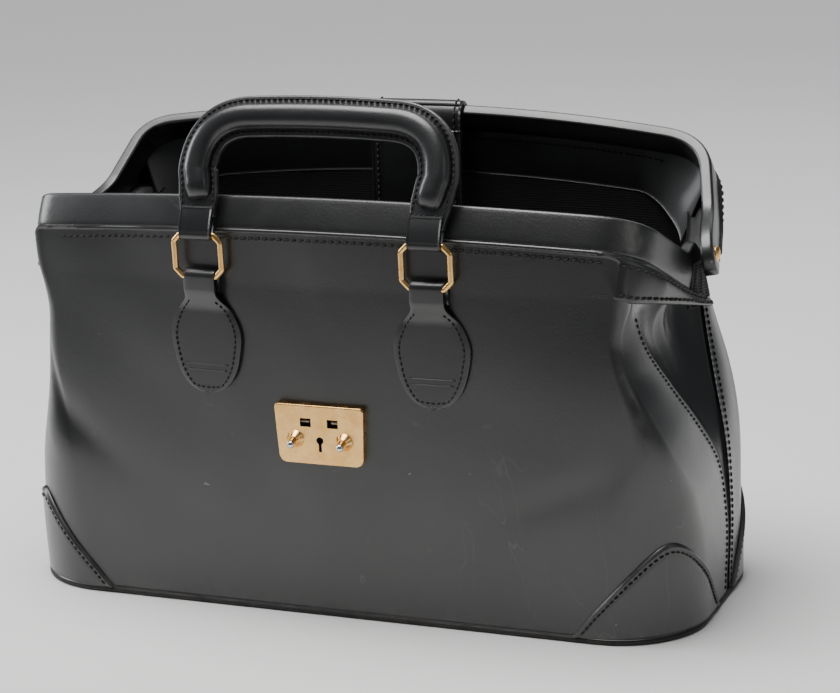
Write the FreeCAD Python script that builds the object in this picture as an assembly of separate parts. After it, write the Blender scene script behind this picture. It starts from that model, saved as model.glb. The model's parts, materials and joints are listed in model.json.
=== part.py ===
import FreeCAD, Part
import math
import os
from FreeCAD import Vector, Rotation, Placement

# A gladstone-style doctor bag: a stiff base, two leather panels, folding side walls and a two-part
# hinged steel mouth. Millimetres. Origin: middle of the underside. +X right, +Y back, +Z up.
# The bag is modelled open, as it stands. Suffixes F and R below mean front and rear.

# ---- driving dimensions -------------------------------------------------------------------------
BASE_LENGTH = 400.0
BASE_DEPTH = 168.0
BASE_CORNER_R = 48.0
LEATHER = 2.5
BOARD = 3.0
LINING = 0.8
BOARD_IN_X = 2.0           # board's edge inside the base leather's inner face, along X
BOARD_IN_Y = 6.0           # and along Y
BOARD_CORNER_R = 42.0
BASE_WELT_OUT = 1.4        # the cord round the base stands out by this
BASE_WELT_IN = 0.4         # and its inner face is this far outside the leather
BASE_WELT_HIGH = 3.4
PATCH_OUT = 1.6            # corner patches: outer and inner faces outside the base's outline
PATCH_IN = 0.2
PATCH_FOOT = 3.6
PATCH_PEAK = 54.0          # the slanting cut passes through this height, near the corner
PATCH_PEAK_IN = 14.0       # and this far inside it
PATCH_FRONT_X = 140.0      # where the cut meets the base in front
PATCH_SIDE_Y = 34.0        # and at the side

HINGE_Z = 199.0            # height of the mouth's rivets with the bag open
MOUTH_R = 96.0             # rivet line to the top of a bar at mid-length
ARCH = 15.5                # how far a bar rises between its corners and its middle
CORNER_X = 175.0           # half length of a bar
ARM_X = 186.0              # outer face of the front bar's arms, at the rivets
KNEE_X = 182.0
REAR_LAYER = 11.0          # the rear bar's arms pass outside the front bar's by this much
KNEE_V = 40.0              # the arms run in separate layers up to this distance from the rivets
BAND = 19.5                # width of a bar
BAR_T = 7.0                # thickness of a covered bar
STEEL_T = 2.5
SKIN = 2.0                 # leather on the two edges of a bar
HALF_GAP = 2.5             # half the gap between the closed bars, for the flap's leather
BAR_CORNER_R = 30.0
OPEN_F = 64.0              # tilt of the front half of the mouth, degrees
OPEN_R = 43.0              # tilt of the rear half
TAB_R = 11.0               # rounded leather ends of the arms, about the rivets
RIVET_R = 2.4
RIVET_HEAD_R = 4.6
RIVET_HEAD = 2.0
RIVET_ENTER = 2.0          # the rear rivets reach this far inside their arms
RIVET_PASS = 1.4           # and the front ones this far outside theirs
HEM_FOOT = 14.0            # the hem ends this far above the rivets
LUG_R = 7.0                # steel lugs round the rivets

PANEL_X = 158.0            # half width of the moving panel plates
SPLIT_F = 72.0             # height at which the front panel starts to fold
SPLIT_R = 56.0
PANEL_DROP = 8.0           # plate edge below the welt, so that the bar can turn over it
WALL_TOP = 104.0           # top of the fixed part of each side wall
WAIST_X = 178.0            # half length of the bag at that height
WAIST_Y = 62.0             # half depth of the side walls there
WAIST_R = 38.0             # their corner radius there
WALL_CLEAR = 3.0           # side walls' edges beside the panel plates
REAR_LOW_IN = 3.5          # the rear panel's fixed foot is inside the moving plate by this
ARCH_F = 22.0              # how much lower a panel plate's top is at its ends
ARCH_R = 26.0
FOLD_X = 175.0             # inner face of the folding side walls
# their corners, front to rear: foot, under the front bar, under the webbing, under the rear bar, foot
FOLD_OUTLINE = [(-62, WALL_TOP + 1), (-84, 198), (-14, 166), (14, 166), (69, 228), (62, WALL_TOP + 1)]
WEBBING_X = 178.5
WEBBING_T = 1.5
WEBBING_HALF = 9.0
WEBBING_LOW = 138.0
WEBBING_HIGH = 164.0

RING_W = 31.0
RING_H = 27.0
WIRE_R = 1.6
LOOP_R = 4.2               # leather loop round a ring's bar, outer radius
LOOP_CLEAR = 0.1
LOOP_W = 19.0
RING_X = 66.5              # each ring's distance from the middle
RING_DROP = 27.0           # ring's fixed bar below the welt
RING_BEND_R = 3.6
RING_HANG = 8.0            # the rear rings hang off their panel by this, degrees
FIT = 0.1                  # between the panels and what is fixed to them
CHAPE_LENGTH = 67.0
CHAPE_HALF = 21.0
CHAPE_T = 2.6

FOLD_F = 24.0              # how far each panel turns inwards as the bag shuts, degrees
FOLD_R = 20.0
SHUT_Z = 226.0             # height of the shut bag's bars

HANDLE_HEIGHT = 77.0
HANDLE_WIDTH = 23.0        # width of the flat stitched flange
HANDLE_HALF = 70.0         # middle of a leg to the middle of the handle, at the top
HANDLE_CORNER_R = 30.0
HANDLE_T = 4.0
CORE_WIDTH = 13.0
CORE_T = 6.0
HANDLE_LEAN = 22.0         # the front handle leans back on the mouth's front bar

LOCK_DROP = 113.0          # lock's centre below the front welt
PLATE_W = 53.0
PLATE_H = 34.0
PLATE_T = 6.0
PLATE_WALL = 1.2
BACK_GAP = 0.7             # between the lining and the lock's back plate
STUD_X = 20.5
STUD_Z = 11.5
STUD_R = 1.5
BOLT_DEEP = 3.6            # bolts' line behind the panel's outer face is minus this
SLOT_X = 8.0
SLOT_UP = 7.0
SLOT_W = 6.4
SLOT_H = 4.8
KNOB_X = 14.5
KNOB_UP = -2.7
KNOB_TRAVEL = 4.0
KEY_UP = -4.5
KEY_R = 2.1
KEY_HALF = 0.9
KEY_LONG = 5.0
KNOB_SLOT_R = 1.35
PLATE_TOP_R = 2.4
PLATE_FOOT_R = 5.0
PLATE_EDGE_R = 0.8
BACK_T = 1.2
STEM_R = 1.2
FLARE_R = 5.0
FLARE_LONG = 3.4
NECK_R = 2.2
TIP_R = 2.3
TIP_DOWN = 20.0            # the knobs' tips point a little downwards, degrees

FLAP_W = 56.0
FLAP_T = 2.6
FLAP_Y = 0.7               # flap's place in the gap between the shut bars
FLAP_UP = 1.5              # its bend above the bar
ROLL_R = 1.5
FLAP_EDGE = 10.0           # part of the flap between its root and its second bend
HASP_T = 1.2
HASP_W = 36.0
HASP_H = 20.0
HASP_BELOW = 3.6           # hasp's lower edge below the staples
HASP_CLEAR = 0.5
STAPLE_DEPTH = 5.4
STAPLE_HALF = 0.8
STAPLE_EYE_R = 1.2
FLAP_GAP = 1.9             # between each part of the flap and the lines it bends about
TONGUE_R = 9.0

X_AXIS = Vector(1, 0, 0)
ORIGIN = Vector(0, 0, 0)
os.makedirs("parts", exist_ok=True)


# ---- helpers ------------------------------------------------------------------------------------
def save(name, shape):
    shape.exportStep("parts/" + name + ".step")
    print(name, round(shape.Volume / 1000.0, 2), "cm3", shape.isValid())


def box(x0, x1, y0, y1, z0, z1):
    return Part.makeBox(x1 - x0, y1 - y0, z1 - z0, Vector(x0, y0, z0))


def rod_x(radius, x0, x1, y, z):
    return Part.makeCylinder(radius, x1 - x0, Vector(x0, y, z), X_AXIS)


def turned(shape, degrees, centre=ORIGIN, axis=X_AXIS):
    copy = shape.copy()
    copy.rotate(centre, axis, degrees)
    return copy


def moved(shape, x=0.0, y=0.0, z=0.0):
    copy = shape.copy()
    copy.translate(Vector(x, y, z))
    return copy


def mirrored(shape, normal=X_AXIS):
    return shape.mirror(ORIGIN, normal)


def both_sides(shape):
    return Part.makeCompound([shape, mirrored(shape)])


def prism(points, vector):
    """A polygon of points, extruded along a vector."""
    return Part.Face(Part.makePolygon(points + [points[0]])).extrude(vector)


def rounded_plate(length, depth, radius, z0, z1):
    """A rounded rectangle about the z axis, from z0 to z1."""
    plate = box(-length / 2, length / 2, -depth / 2, depth / 2, z0, z1)
    upright = [e for e in plate.Edges if abs(e.Vertexes[0].Z - e.Vertexes[1].Z) > 0.9 * (z1 - z0)]
    return plate.makeFillet(radius, upright)


# ---- base ---------------------------------------------------------------------------------------
def base_ring(out, inside, z0, z1):
    """A band round the base; its faces are out and inside outside the base's outline."""
    outer = rounded_plate(BASE_LENGTH + 2 * out, BASE_DEPTH + 2 * out, BASE_CORNER_R + out, z0, z1)
    inner = rounded_plate(BASE_LENGTH + 2 * inside, BASE_DEPTH + 2 * inside, BASE_CORNER_R + inside,
                          z0 - 1, z1 + 1)
    return outer.cut(inner)


def make_base():
    save("base_leather", rounded_plate(BASE_LENGTH, BASE_DEPTH, BASE_CORNER_R, 0, LEATHER))
    board_long = BASE_LENGTH - 2 * (LEATHER + BOARD_IN_X)
    board_deep = BASE_DEPTH - 2 * (LEATHER + BOARD_IN_Y)
    board = rounded_plate(board_long, board_deep, BOARD_CORNER_R, LEATHER, LEATHER + BOARD)
    save("base_board", board)
    lining_z = LEATHER + BOARD
    lining = rounded_plate(board_long, board_deep, BOARD_CORNER_R, lining_z, lining_z + LINING)
    save("base_lining", lining)
    save("base_welt", base_ring(BASE_WELT_OUT, BASE_WELT_IN, 0, BASE_WELT_HIGH))


# ---- side walls and their corner patches --------------------------------------------------------
def wall_outline(half_x, half_y, radius, z):
    """Rounded rectangle wire at a height, for lofting."""
    solid = rounded_plate(2 * half_x, 2 * half_y, radius, z, z + 1)
    bottom = [f for f in solid.Faces if abs(f.CenterOfMass.z - z) < 1e-6 and abs(f.BoundBox.ZLength) < 1e-6]
    return bottom[0].OuterWire


def side_shell(inset):
    low = wall_outline(BASE_LENGTH / 2 - inset, BASE_DEPTH / 2 - inset, BASE_CORNER_R - inset, LEATHER)
    high = wall_outline(WAIST_X - inset, WAIST_Y - inset, WAIST_R - inset, WALL_TOP)
    return Part.makeLoft([low, high], True, True)


def make_side_walls():
    shell = side_shell(0).cut(side_shell(LEATHER))
    keep = box(PANEL_X + WALL_CLEAR, BASE_LENGTH, -BASE_DEPTH, BASE_DEPTH, LEATHER, WALL_TOP)
    wall = shell.common(keep)
    save("side_wall_right", wall)
    save("side_wall_left", mirrored(wall))


def corner_patch():
    """Front right reinforcement: a shell round the corner, cut off by one slanting plane."""
    band = base_ring(PATCH_OUT, PATCH_IN, PATCH_FOOT, PATCH_PEAK + 2)
    apex = Vector(BASE_LENGTH / 2 - PATCH_PEAK_IN, -BASE_DEPTH / 2 + PATCH_PEAK_IN, PATCH_PEAK)
    front = Vector(PATCH_FRONT_X, -BASE_DEPTH / 2, PATCH_FOOT)
    side = Vector(BASE_LENGTH / 2, -PATCH_SIDE_Y, PATCH_FOOT)
    normal = (front - apex).cross(side - apex)
    if normal.z < 0:
        normal = normal * -1
    cutter = Part.makeBox(400, 400, 400, Vector(-200, -200, 0))
    cutter.Placement = Placement(apex, Rotation(Vector(0, 0, 1), normal))
    corner = box(PATCH_FRONT_X - 10, BASE_LENGTH, -BASE_DEPTH, -20, PATCH_FOOT, PATCH_PEAK + 6)
    return band.common(corner).cut(cutter)


def make_corner_patches():
    patch = corner_patch()
    save("corner_patch_front_right", patch)
    save("corner_patch_front_left", mirrored(patch))
    save("corner_patch_rear_right", mirrored(patch, Vector(0, 1, 0)))
    save("corner_patch_rear_left", mirrored(mirrored(patch, Vector(0, 1, 0))))


# ---- the mouth: two hooped bars -----------------------------------------------------------------
def hoop_prism(inset, layer, y0, y1, foot):
    """Solid arch outline, shrunk by inset. layer pushes the arms outwards below the knee."""
    arm_x = ARM_X + (KNEE_X - ARM_X) * foot / KNEE_V + layer - inset
    knee_x = KNEE_X + layer - inset
    corner_x = CORNER_X - inset
    top = MOUTH_R - inset
    corner_v = top - ARCH
    points = [Vector(-arm_x, y0, foot), Vector(-knee_x, y0, KNEE_V), Vector(-corner_x, y0, corner_v)]
    left = [Part.LineSegment(a, b).toShape() for a, b in zip(points, points[1:])]
    flipped = [Vector(-p.x, p.y, p.z) for p in reversed(points)]
    right = [Part.LineSegment(a, b).toShape() for a, b in zip(flipped, flipped[1:])]
    arc = Part.Arc(points[-1], Vector(0, y0, top), flipped[0]).toShape()
    closing = Part.LineSegment(flipped[-1], points[0]).toShape()
    face = Part.Face(Part.Wire(left + [arc] + right + [closing]))
    solid = face.extrude(Vector(0, y1 - y0, 0))
    corners = []
    for edge in solid.Edges:
        ends = [v.Point for v in edge.Vertexes]
        across = len(ends) == 2 and abs(ends[0].y - ends[1].y) > 0.5
        if across and abs(abs(ends[0].x) - corner_x) < 0.01:
            corners.append(edge)
    return solid.makeFillet(BAR_CORNER_R - inset, corners)


def hoop(inset0, inset1, layer, y0, y1, foot=0.0):
    outer = hoop_prism(inset0, layer, y0, y1, foot)
    return outer.cut(hoop_prism(inset1, layer, y0 - 1, y1 + 1, foot - 1))


def arm_tab(layer, radius, inset0, inset1):
    x1 = ARM_X + layer - inset0
    return rod_x(radius, x1 - (inset1 - inset0), x1, 0, 0)


def half_mouth(side, opening, layer, suffix):
    """One half of the mouth in its closed pose, then tilted open. side is -1 front, +1 rear."""
    near = side * HALF_GAP
    far = side * (HALF_GAP + BAND)
    y0, y1 = min(near, far), max(near, far)
    cover = hoop(0, BAR_T, layer, y0, y1)
    tab = arm_tab(layer, TAB_R, 0, BAR_T)
    cover = cover.fuse([tab, mirrored(tab)])
    lug = arm_tab(layer, LUG_R, LEATHER, LEATHER + STEEL_T)
    steel = hoop(LEATHER, LEATHER + STEEL_T, layer, y0 + SKIN, y1 - SKIN)
    steel = steel.fuse([lug, mirrored(lug)])
    hem = hoop(LEATHER + STEEL_T, BAR_T, layer, y0 + SKIN, y1 - SKIN, HEM_FOOT)
    cover = cover.cut(steel).cut(hem)
    for bore in (rod_x(RIVET_R, 150, 260, 0, 0), rod_x(RIVET_R, -260, -150, 0, 0)):
        cover = cover.cut(bore)
        steel = steel.cut(bore)

    outside = ARM_X + layer
    inside = outside - BAR_T
    if side > 0:
        head = rod_x(RIVET_HEAD_R, outside, outside + RIVET_HEAD, 0, 0)
        stem = rod_x(RIVET_R, inside - RIVET_ENTER, outside, 0, 0)
    else:
        head = rod_x(RIVET_HEAD_R, inside - 1.0 - RIVET_HEAD, inside - 1.0, 0, 0)
        stem = rod_x(RIVET_R, inside - 1.0, outside + RIVET_PASS, 0, 0)
    rivet = stem.fuse(head).removeSplitter()
    rivets = both_sides(rivet)

    names = {"bar_cover": cover, "bar_steel": steel, "bar_hem": hem, "rivets": rivets}
    for name, shape in names.items():
        save(suffix + "_" + name, moved(turned(shape, -side * opening), z=HINGE_Z))


def welt_point(side, opening, v=MOUTH_R):
    """The bar's lower outer edge, where the panel is sewn to it."""
    angle = math.radians(-side * opening)
    y = side * (HALF_GAP + BAND)
    return Vector(0, y * math.cos(angle) - v * math.sin(angle),
                  HINGE_Z + y * math.sin(angle) + v * math.cos(angle))


# ---- panels -------------------------------------------------------------------------------------
def strip_wire(half, sag, y, z, thickness, side):
    """Outline of a bowed strip: its outer face is at y in the middle and sag further in at the ends."""
    outer = [Vector(-half, y - side * sag, z), Vector(0, y, z), Vector(half, y - side * sag, z)]
    inner = [Vector(p.x, p.y - side * thickness, z) for p in outer]
    edges = [Part.Arc(*outer).toShape(),
             Part.LineSegment(outer[2], inner[2]).toShape(),
             Part.Arc(inner[2], inner[1], inner[0]).toShape(),
             Part.LineSegment(inner[0], outer[0]).toShape()]
    return Part.Wire(edges)


def panel_y(side, z):
    """Outer face of the panel at mid-length."""
    welt = welt_point(side, OPEN_F if side < 0 else OPEN_R)
    foot = side * BASE_DEPTH / 2
    return foot + (welt.y - foot) * z / welt.z


def panel_sag(side, z):
    welt = welt_point(side, OPEN_F if side < 0 else OPEN_R)
    corner = welt_point(side, OPEN_F if side < 0 else OPEN_R, MOUTH_R - ARCH)
    return 1.0 + (abs(welt.y - corner.y) - 1.0) * z / welt.z


def panel_plate(side, z0, z1, thickness, inset=0.0, arched=0.0):
    low = strip_wire(PANEL_X, panel_sag(side, z0), panel_y(side, z0) - side * inset, z0, thickness, side)
    high = strip_wire(PANEL_X, panel_sag(side, z1), panel_y(side, z1) - side * inset, z1, thickness, side)
    plate = Part.makeLoft([low, high], True, True)
    if arched:
        ends = [Vector(-PANEL_X - 5, -150, z1 - arched), Vector(0, -150, z1),
                Vector(PANEL_X + 5, -150, z1 - arched)]
        feet = [Vector(PANEL_X + 5, -150, z0 - 5), Vector(-PANEL_X - 5, -150, z0 - 5)]
        edges = [Part.Arc(*ends).toShape(), Part.LineSegment(ends[2], feet[0]).toShape(),
                 Part.LineSegment(feet[0], feet[1]).toShape(), Part.LineSegment(feet[1], ends[0]).toShape()]
        plate = plate.common(Part.Face(Part.Wire(edges)).extrude(Vector(0, 300, 0)))
    return plate


def panel_lean(side):
    welt = welt_point(side, OPEN_F if side < 0 else OPEN_R)
    return math.degrees(math.atan2(-(welt.y - side * BASE_DEPTH / 2), welt.z))


def panel_length(side):
    welt = welt_point(side, OPEN_F if side < 0 else OPEN_R)
    return math.hypot(welt.y - side * BASE_DEPTH / 2, welt.z)


def on_panel(shape, side):
    """Places a shape drawn for the front panel: z up the panel from its foot, -y outwards."""
    if side > 0:
        shape = mirrored(shape, Vector(0, 1, 0))
    return moved(turned(shape, panel_lean(side)), y=side * BASE_DEPTH / 2)


def shut_turn(side):
    """How far a panel turns, by the right-hand rule about +X, as the bag shuts."""
    return -FOLD_F if side < 0 else FOLD_R


def shut_welt(side):
    return Vector(0, side * (HALF_GAP + BAND), SHUT_Z)


def fold_pole(side):
    """The line that a panel turns about: it carries the open welt to the shut one."""
    a = welt_point(side, OPEN_F if side < 0 else OPEN_R)
    b = shut_welt(side)
    middle = (a + b) * 0.5
    step = b - a
    reach = 0.5 / math.tan(math.radians(shut_turn(side)) / 2)
    return Vector(0, middle.y - step.z * reach, middle.z + step.y * reach)


def stud_places():
    return [(x, z) for x in (-STUD_X, STUD_X) for z in (-STUD_Z, STUD_Z)]


def lock_height():
    return panel_length(-1) - LOCK_DROP


def make_panels():
    front_low = panel_plate(-1, LEATHER + 0.1, SPLIT_F - 2, LEATHER)
    save("front_panel_lower", front_low)
    rear_low = panel_plate(1, LEATHER + 0.1, SPLIT_R - 6, LEATHER, inset=REAR_LOW_IN)
    save("rear_panel_lower", rear_low)

    studs = []
    for x, z in stud_places():
        stud = Part.makeCylinder(STUD_R, 30, Vector(x, -10, lock_height() + z), Vector(0, 1, 0))
        studs.append(on_panel(stud, -1))
    front_top = welt_point(-1, OPEN_F).z - PANEL_DROP
    front = panel_plate(-1, SPLIT_F, front_top, LEATHER, arched=ARCH_F)
    save("front_panel", front.cut(studs))
    lining = panel_plate(-1, SPLIT_F, front_top - 1, LINING, inset=LEATHER + 0.05, arched=ARCH_F)
    save("front_lining", lining.cut(studs))
    rear_top = welt_point(1, OPEN_R).z - PANEL_DROP
    save("rear_panel", panel_plate(1, SPLIT_R, rear_top, LEATHER, arched=ARCH_R))
    save("rear_lining", panel_plate(1, SPLIT_R, rear_top - 1, LINING, inset=LEATHER + 0.05, arched=ARCH_R))


# ---- folding upper side walls and the webbing over them -----------------------------------------
def make_side_folds():
    fold = prism([Vector(FOLD_X, y, z) for y, z in FOLD_OUTLINE], Vector(LEATHER, 0, 0))
    save("side_fold_right", fold)
    save("side_fold_left", mirrored(fold))
    webbing = box(WEBBING_X, WEBBING_X + WEBBING_T, -WEBBING_HALF, WEBBING_HALF, WEBBING_LOW, WEBBING_HIGH)
    save("hinge_webbing_right", webbing)
    save("hinge_webbing_left", mirrored(webbing))


# ---- handle fittings ----------------------------------------------------------------------------
def chape():
    """Tongue of leather sewn to the panel, with a neck rolled round the ring's bar. z=0 is the bar."""
    neck = LOOP_W / 2
    flare = CHAPE_HALF
    left = [Vector(-neck, 0, 0), Vector(-neck, 0, -9), Vector(-flare, 0, -25), Vector(-flare + 1, 0, -40)]
    right = [Vector(-p.x, 0, p.z) for p in reversed(left)]
    edges = [Part.LineSegment(left[0], left[1]).toShape()]
    swell = Part.BSplineCurve()
    swell.interpolate([left[1], Vector(-neck - 3.5, 0, -15), left[2]])
    edges.append(swell.toShape())
    edges.append(Part.LineSegment(left[2], left[3]).toShape())
    tip = Part.BSplineCurve()
    tip.interpolate([left[3], Vector(-13, 0, 10 - CHAPE_LENGTH), Vector(0, 0, -CHAPE_LENGTH),
                     Vector(13, 0, 10 - CHAPE_LENGTH), right[0]])
    edges.append(tip.toShape())
    edges.append(Part.LineSegment(right[0], right[1]).toShape())
    swell_back = Part.BSplineCurve()
    swell_back.interpolate([right[1], Vector(neck + 3.5, 0, -15), right[2]])
    edges.append(swell_back.toShape())
    edges.append(Part.LineSegment(right[2], right[3]).toShape())
    edges.append(Part.LineSegment(right[3], left[0]).toShape())
    tongue = Part.Face(Part.Wire(edges)).extrude(Vector(0, -CHAPE_T, 0))
    loop = rod_x(LOOP_R, -LOOP_W / 2, LOOP_W / 2, -LOOP_R, 0)
    bore = rod_x(WIRE_R + LOOP_CLEAR, -LOOP_W, LOOP_W, -LOOP_R, 0)
    return tongue.fuse(loop).cut(bore).removeSplitter()


def ring():
    """Rectangular ring of round wire. Its fixed bar is on the x axis; the other is above it."""
    half = RING_W / 2 - WIRE_R
    high = RING_H - 2 * WIRE_R
    corners = [Vector(-half, 0, 0), Vector(half, 0, 0), Vector(half, 0, high), Vector(-half, 0, high)]
    sharp = Part.makePolygon(corners + [corners[0]])
    block = Part.Face(sharp).extrude(Vector(0, 1, 0))
    upright = [e for e in block.Edges if abs(e.Vertexes[0].Y - e.Vertexes[1].Y) > 0.5]
    soft = block.makeFillet(RING_BEND_R, upright)
    flat = [f for f in soft.Faces if abs(f.BoundBox.YLength) < 1e-6 and abs(f.CenterOfMass.y) < 1e-6][0]
    path = flat.OuterWire
    start = path.OrderedVertexes[0].Point
    direction = path.OrderedEdges[0].tangentAt(path.OrderedEdges[0].FirstParameter)
    profile = Part.Wire(Part.makeCircle(WIRE_R, start, direction))
    return path.makePipeShell([profile], True, True)


def handle_outline(inset, low, y0, y1):
    """Solid arch filling the handle's outline, shrunk by inset."""
    edge = HANDLE_WIDTH / 2 - inset
    foot = RING_X + edge
    shoulder = HANDLE_HALF + edge
    top = HANDLE_HEIGHT - inset
    points = [Vector(-foot, y0, low), Vector(-shoulder, y0, top), Vector(shoulder, y0, top), Vector(foot, y0, low)]
    block = prism(points, Vector(0, y1 - y0, 0))
    corners = [e for e in block.Edges if all(abs(v.Z - top) < 1e-6 for v in e.Vertexes)
               and abs(e.Vertexes[0].Y - e.Vertexes[1].Y) > 0.5]
    return block.makeFillet(HANDLE_CORNER_R + edge, corners)


def handle_arch(inset, low, y0, y1):
    """Arch of constant width: z=0 is the ring's bar, the outer side faces -y."""
    outer = handle_outline(inset, low, y0, y1)
    inner = handle_outline(HANDLE_WIDTH - inset, low - 1, y0 - 1, y1 + 1)
    return outer.cut(inner)


def handle_parts():
    strap = handle_arch(0, 8, -HANDLE_T / 2, HANDLE_T / 2)
    inset = (HANDLE_WIDTH - CORE_WIDTH) / 2
    core = handle_arch(inset, 20, -HANDLE_T / 2 - CORE_T, -HANDLE_T / 2)
    ends = []
    for x in (-RING_X, RING_X):
        ends.append(box(x - LOOP_W / 2, x + LOOP_W / 2, -HANDLE_T / 2, HANDLE_T / 2, 0, 10))
        ends.append(rod_x(LOOP_R, x - LOOP_W / 2, x + LOOP_W / 2, 0, 0))
    bore = rod_x(WIRE_R + LOOP_CLEAR, -RING_X - LOOP_W, RING_X + LOOP_W, 0, 0)
    return strap.fuse(ends).cut(bore).removeSplitter(), core


def ring_pivot(side):
    """World place of the line that a pair of rings swings about."""
    rod = Part.Vertex(Vector(0, -LOOP_R - FIT, panel_length(side) - RING_DROP))
    return on_panel(rod, side).Point


def ring_turn(side):
    """Rest angle of the rings about +X: standing in front, hanging and a little off the panel behind."""
    return panel_lean(side) if side < 0 else panel_lean(side) + 180.0 + RING_HANG


def handle_turn(side):
    return -HANDLE_LEAN if side < 0 else panel_lean(side) + 180.0


def handle_pivot(side):
    angle = math.radians(ring_turn(side))
    reach = RING_H - 2 * WIRE_R
    pivot = ring_pivot(side)
    return Vector(0, pivot.y - reach * math.sin(angle), pivot.z + reach * math.cos(angle))


def make_handles():
    tongue = moved(chape(), y=-FIT)
    wire = ring()
    strap, core = handle_parts()
    for side, name in ((-1, "front"), (1, "rear")):
        up = panel_length(side) - RING_DROP
        for x, hand in ((-RING_X, "left"), (RING_X, "right")):
            save("chape_" + name + "_" + hand, on_panel(moved(tongue, x=x, z=up), side))
            pivot = ring_pivot(side)
            placed = moved(turned(wire, ring_turn(side)), x=x, y=pivot.y, z=pivot.z)
            save("ring_" + name + "_" + hand, placed)
        pivot = handle_pivot(side)
        save("handle_strap_" + name, moved(turned(strap, handle_turn(side)), y=pivot.y, z=pivot.z))
        save("handle_core_" + name, moved(turned(core, handle_turn(side)), y=pivot.y, z=pivot.z))


# ---- lock ---------------------------------------------------------------------------------------
def lock_plate_outline(inset, y0, y1):
    """Lock plate: straight top, slightly narrower and rounder at the bottom."""
    top = PLATE_H / 2 - inset
    wide = PLATE_W / 2 - inset
    narrow = wide - 1.6
    points = [Vector(-wide, y0, top), Vector(wide, y0, top), Vector(narrow, y0, -top), Vector(-narrow, y0, -top)]
    block = prism(points, Vector(0, y1 - y0, 0))
    across = [e for e in block.Edges if abs(e.Vertexes[0].Y - e.Vertexes[1].Y) > 0.5]
    upper = [e for e in across if e.Vertexes[0].Z > 0]
    block = block.makeFillet(PLATE_TOP_R - inset / 2, upper)
    across = [e for e in block.Edges if abs(e.Vertexes[0].Y - e.Vertexes[1].Y) > 0.5]
    lower = [e for e in across if e.Vertexes[0].Z < -top + 1]
    return block.makeFillet(PLATE_FOOT_R - inset / 2, lower)


def make_lock():
    face = -PLATE_T - FIT
    plate = lock_plate_outline(0, face, -FIT)
    front_edges = [e for e in plate.Edges if all(abs(v.Y - face) < 1e-6 for v in e.Vertexes)]
    plate = plate.makeFillet(PLATE_EDGE_R, front_edges)
    plate = plate.cut(lock_plate_outline(PLATE_WALL, face + PLATE_WALL, 0))
    deep = face + PLATE_WALL + 1
    for x in (-SLOT_X, SLOT_X):
        plate = plate.cut(box(x - SLOT_W / 2, x + SLOT_W / 2, face - 1, deep, SLOT_UP - SLOT_H / 2,
                              SLOT_UP + SLOT_H / 2))
    for x in (-KNOB_X, KNOB_X):
        far = x + math.copysign(KNOB_TRAVEL, x)
        low_x, high_x = min(x, far), max(x, far)
        slot = box(low_x, high_x, face - 1, deep, KNOB_UP - KNOB_SLOT_R, KNOB_UP + KNOB_SLOT_R)
        ends = [Part.makeCylinder(KNOB_SLOT_R, 4, Vector(e, face - 1, KNOB_UP), Vector(0, 1, 0)) for e in (x, far)]
        plate = plate.cut(slot.fuse(ends))
    eye = Part.makeCylinder(KEY_R, 4, Vector(0, face - 1, KEY_UP + 1.5), Vector(0, 1, 0))
    slit = box(-KEY_HALF, KEY_HALF, face - 1, deep, KEY_UP - KEY_LONG, KEY_UP)
    plate = plate.cut(eye.fuse(slit))
    up = lock_height()
    save("lock_plate", on_panel(moved(plate, z=up), -1))

    inside = LEATHER + LINING + BACK_GAP
    back = box(1 - PLATE_W / 2, PLATE_W / 2 - 1, inside, inside + BACK_T, 1 - PLATE_H / 2, PLATE_H / 2 - 1)
    studs = []
    for x, z in stud_places():
        start = face + PLATE_WALL
        studs.append(Part.makeCylinder(STUD_R, inside - start, Vector(x, start, z), Vector(0, 1, 0)))
    save("lock_backplate", on_panel(moved(back, z=up), -1))
    save("lock_studs", on_panel(moved(Part.makeCompound(studs), z=up), -1))

    bar = box(KNOB_X - 1.1, KNOB_X + 1.1, -BOLT_DEEP - 0.7, -BOLT_DEEP + 0.7, -5.0, SLOT_UP + 1.5)
    bolt = bar.fuse(rod_x(0.8, SLOT_X - 1.4, KNOB_X, -BOLT_DEEP, SLOT_UP)).removeSplitter()
    stem_start = -BOLT_DEEP - 0.7
    stem = Part.makeCylinder(STEM_R, stem_start - (face - 0.3), Vector(0, stem_start, 0), Vector(0, -1, 0))
    flare = Part.makeCone(FLARE_R, NECK_R + 0.5, FLARE_LONG, Vector(0, face - 0.2, 0), Vector(0, -1, 0))
    neck_y = face + 0.2 - FLARE_LONG
    aim = Vector(0, -math.cos(math.radians(TIP_DOWN)), -math.sin(math.radians(TIP_DOWN)))
    neck = Part.makeCylinder(NECK_R, 2.2, Vector(0, neck_y, 0), aim)
    knob = moved(stem.fuse([flare, neck]).removeSplitter(), x=KNOB_X, z=KNOB_UP)
    ball_place = Vector(KNOB_X, neck_y, KNOB_UP) + aim * 3.4
    ball = Part.makeSphere(TIP_R, ball_place)
    knob = knob.cut(ball)
    for shape, name in ((bolt, "lock_bolt"), (knob, "lock_knob"), (ball, "lock_tip")):
        placed = on_panel(moved(shape, z=up), -1)
        save(name + "_right", placed)
        save(name + "_left", mirrored(placed))


# ---- closing flap -------------------------------------------------------------------------------
def shut_lean():
    """Lean of the shut front panel, degrees back from upright."""
    return FOLD_F - panel_lean(-1)


def flap_stand_off():
    """Middle of the flap's leather to the front panel, when it is over the lock."""
    return PLATE_T + FIT + HASP_CLEAR + HASP_T + FLAP_T / 2


def flap_top_length():
    lean = math.radians(shut_lean())
    past_welt = (flap_stand_off() - FLAP_UP * math.sin(lean)) / math.cos(lean)
    return HALF_GAP + BAND + FLAP_Y + past_welt


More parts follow.
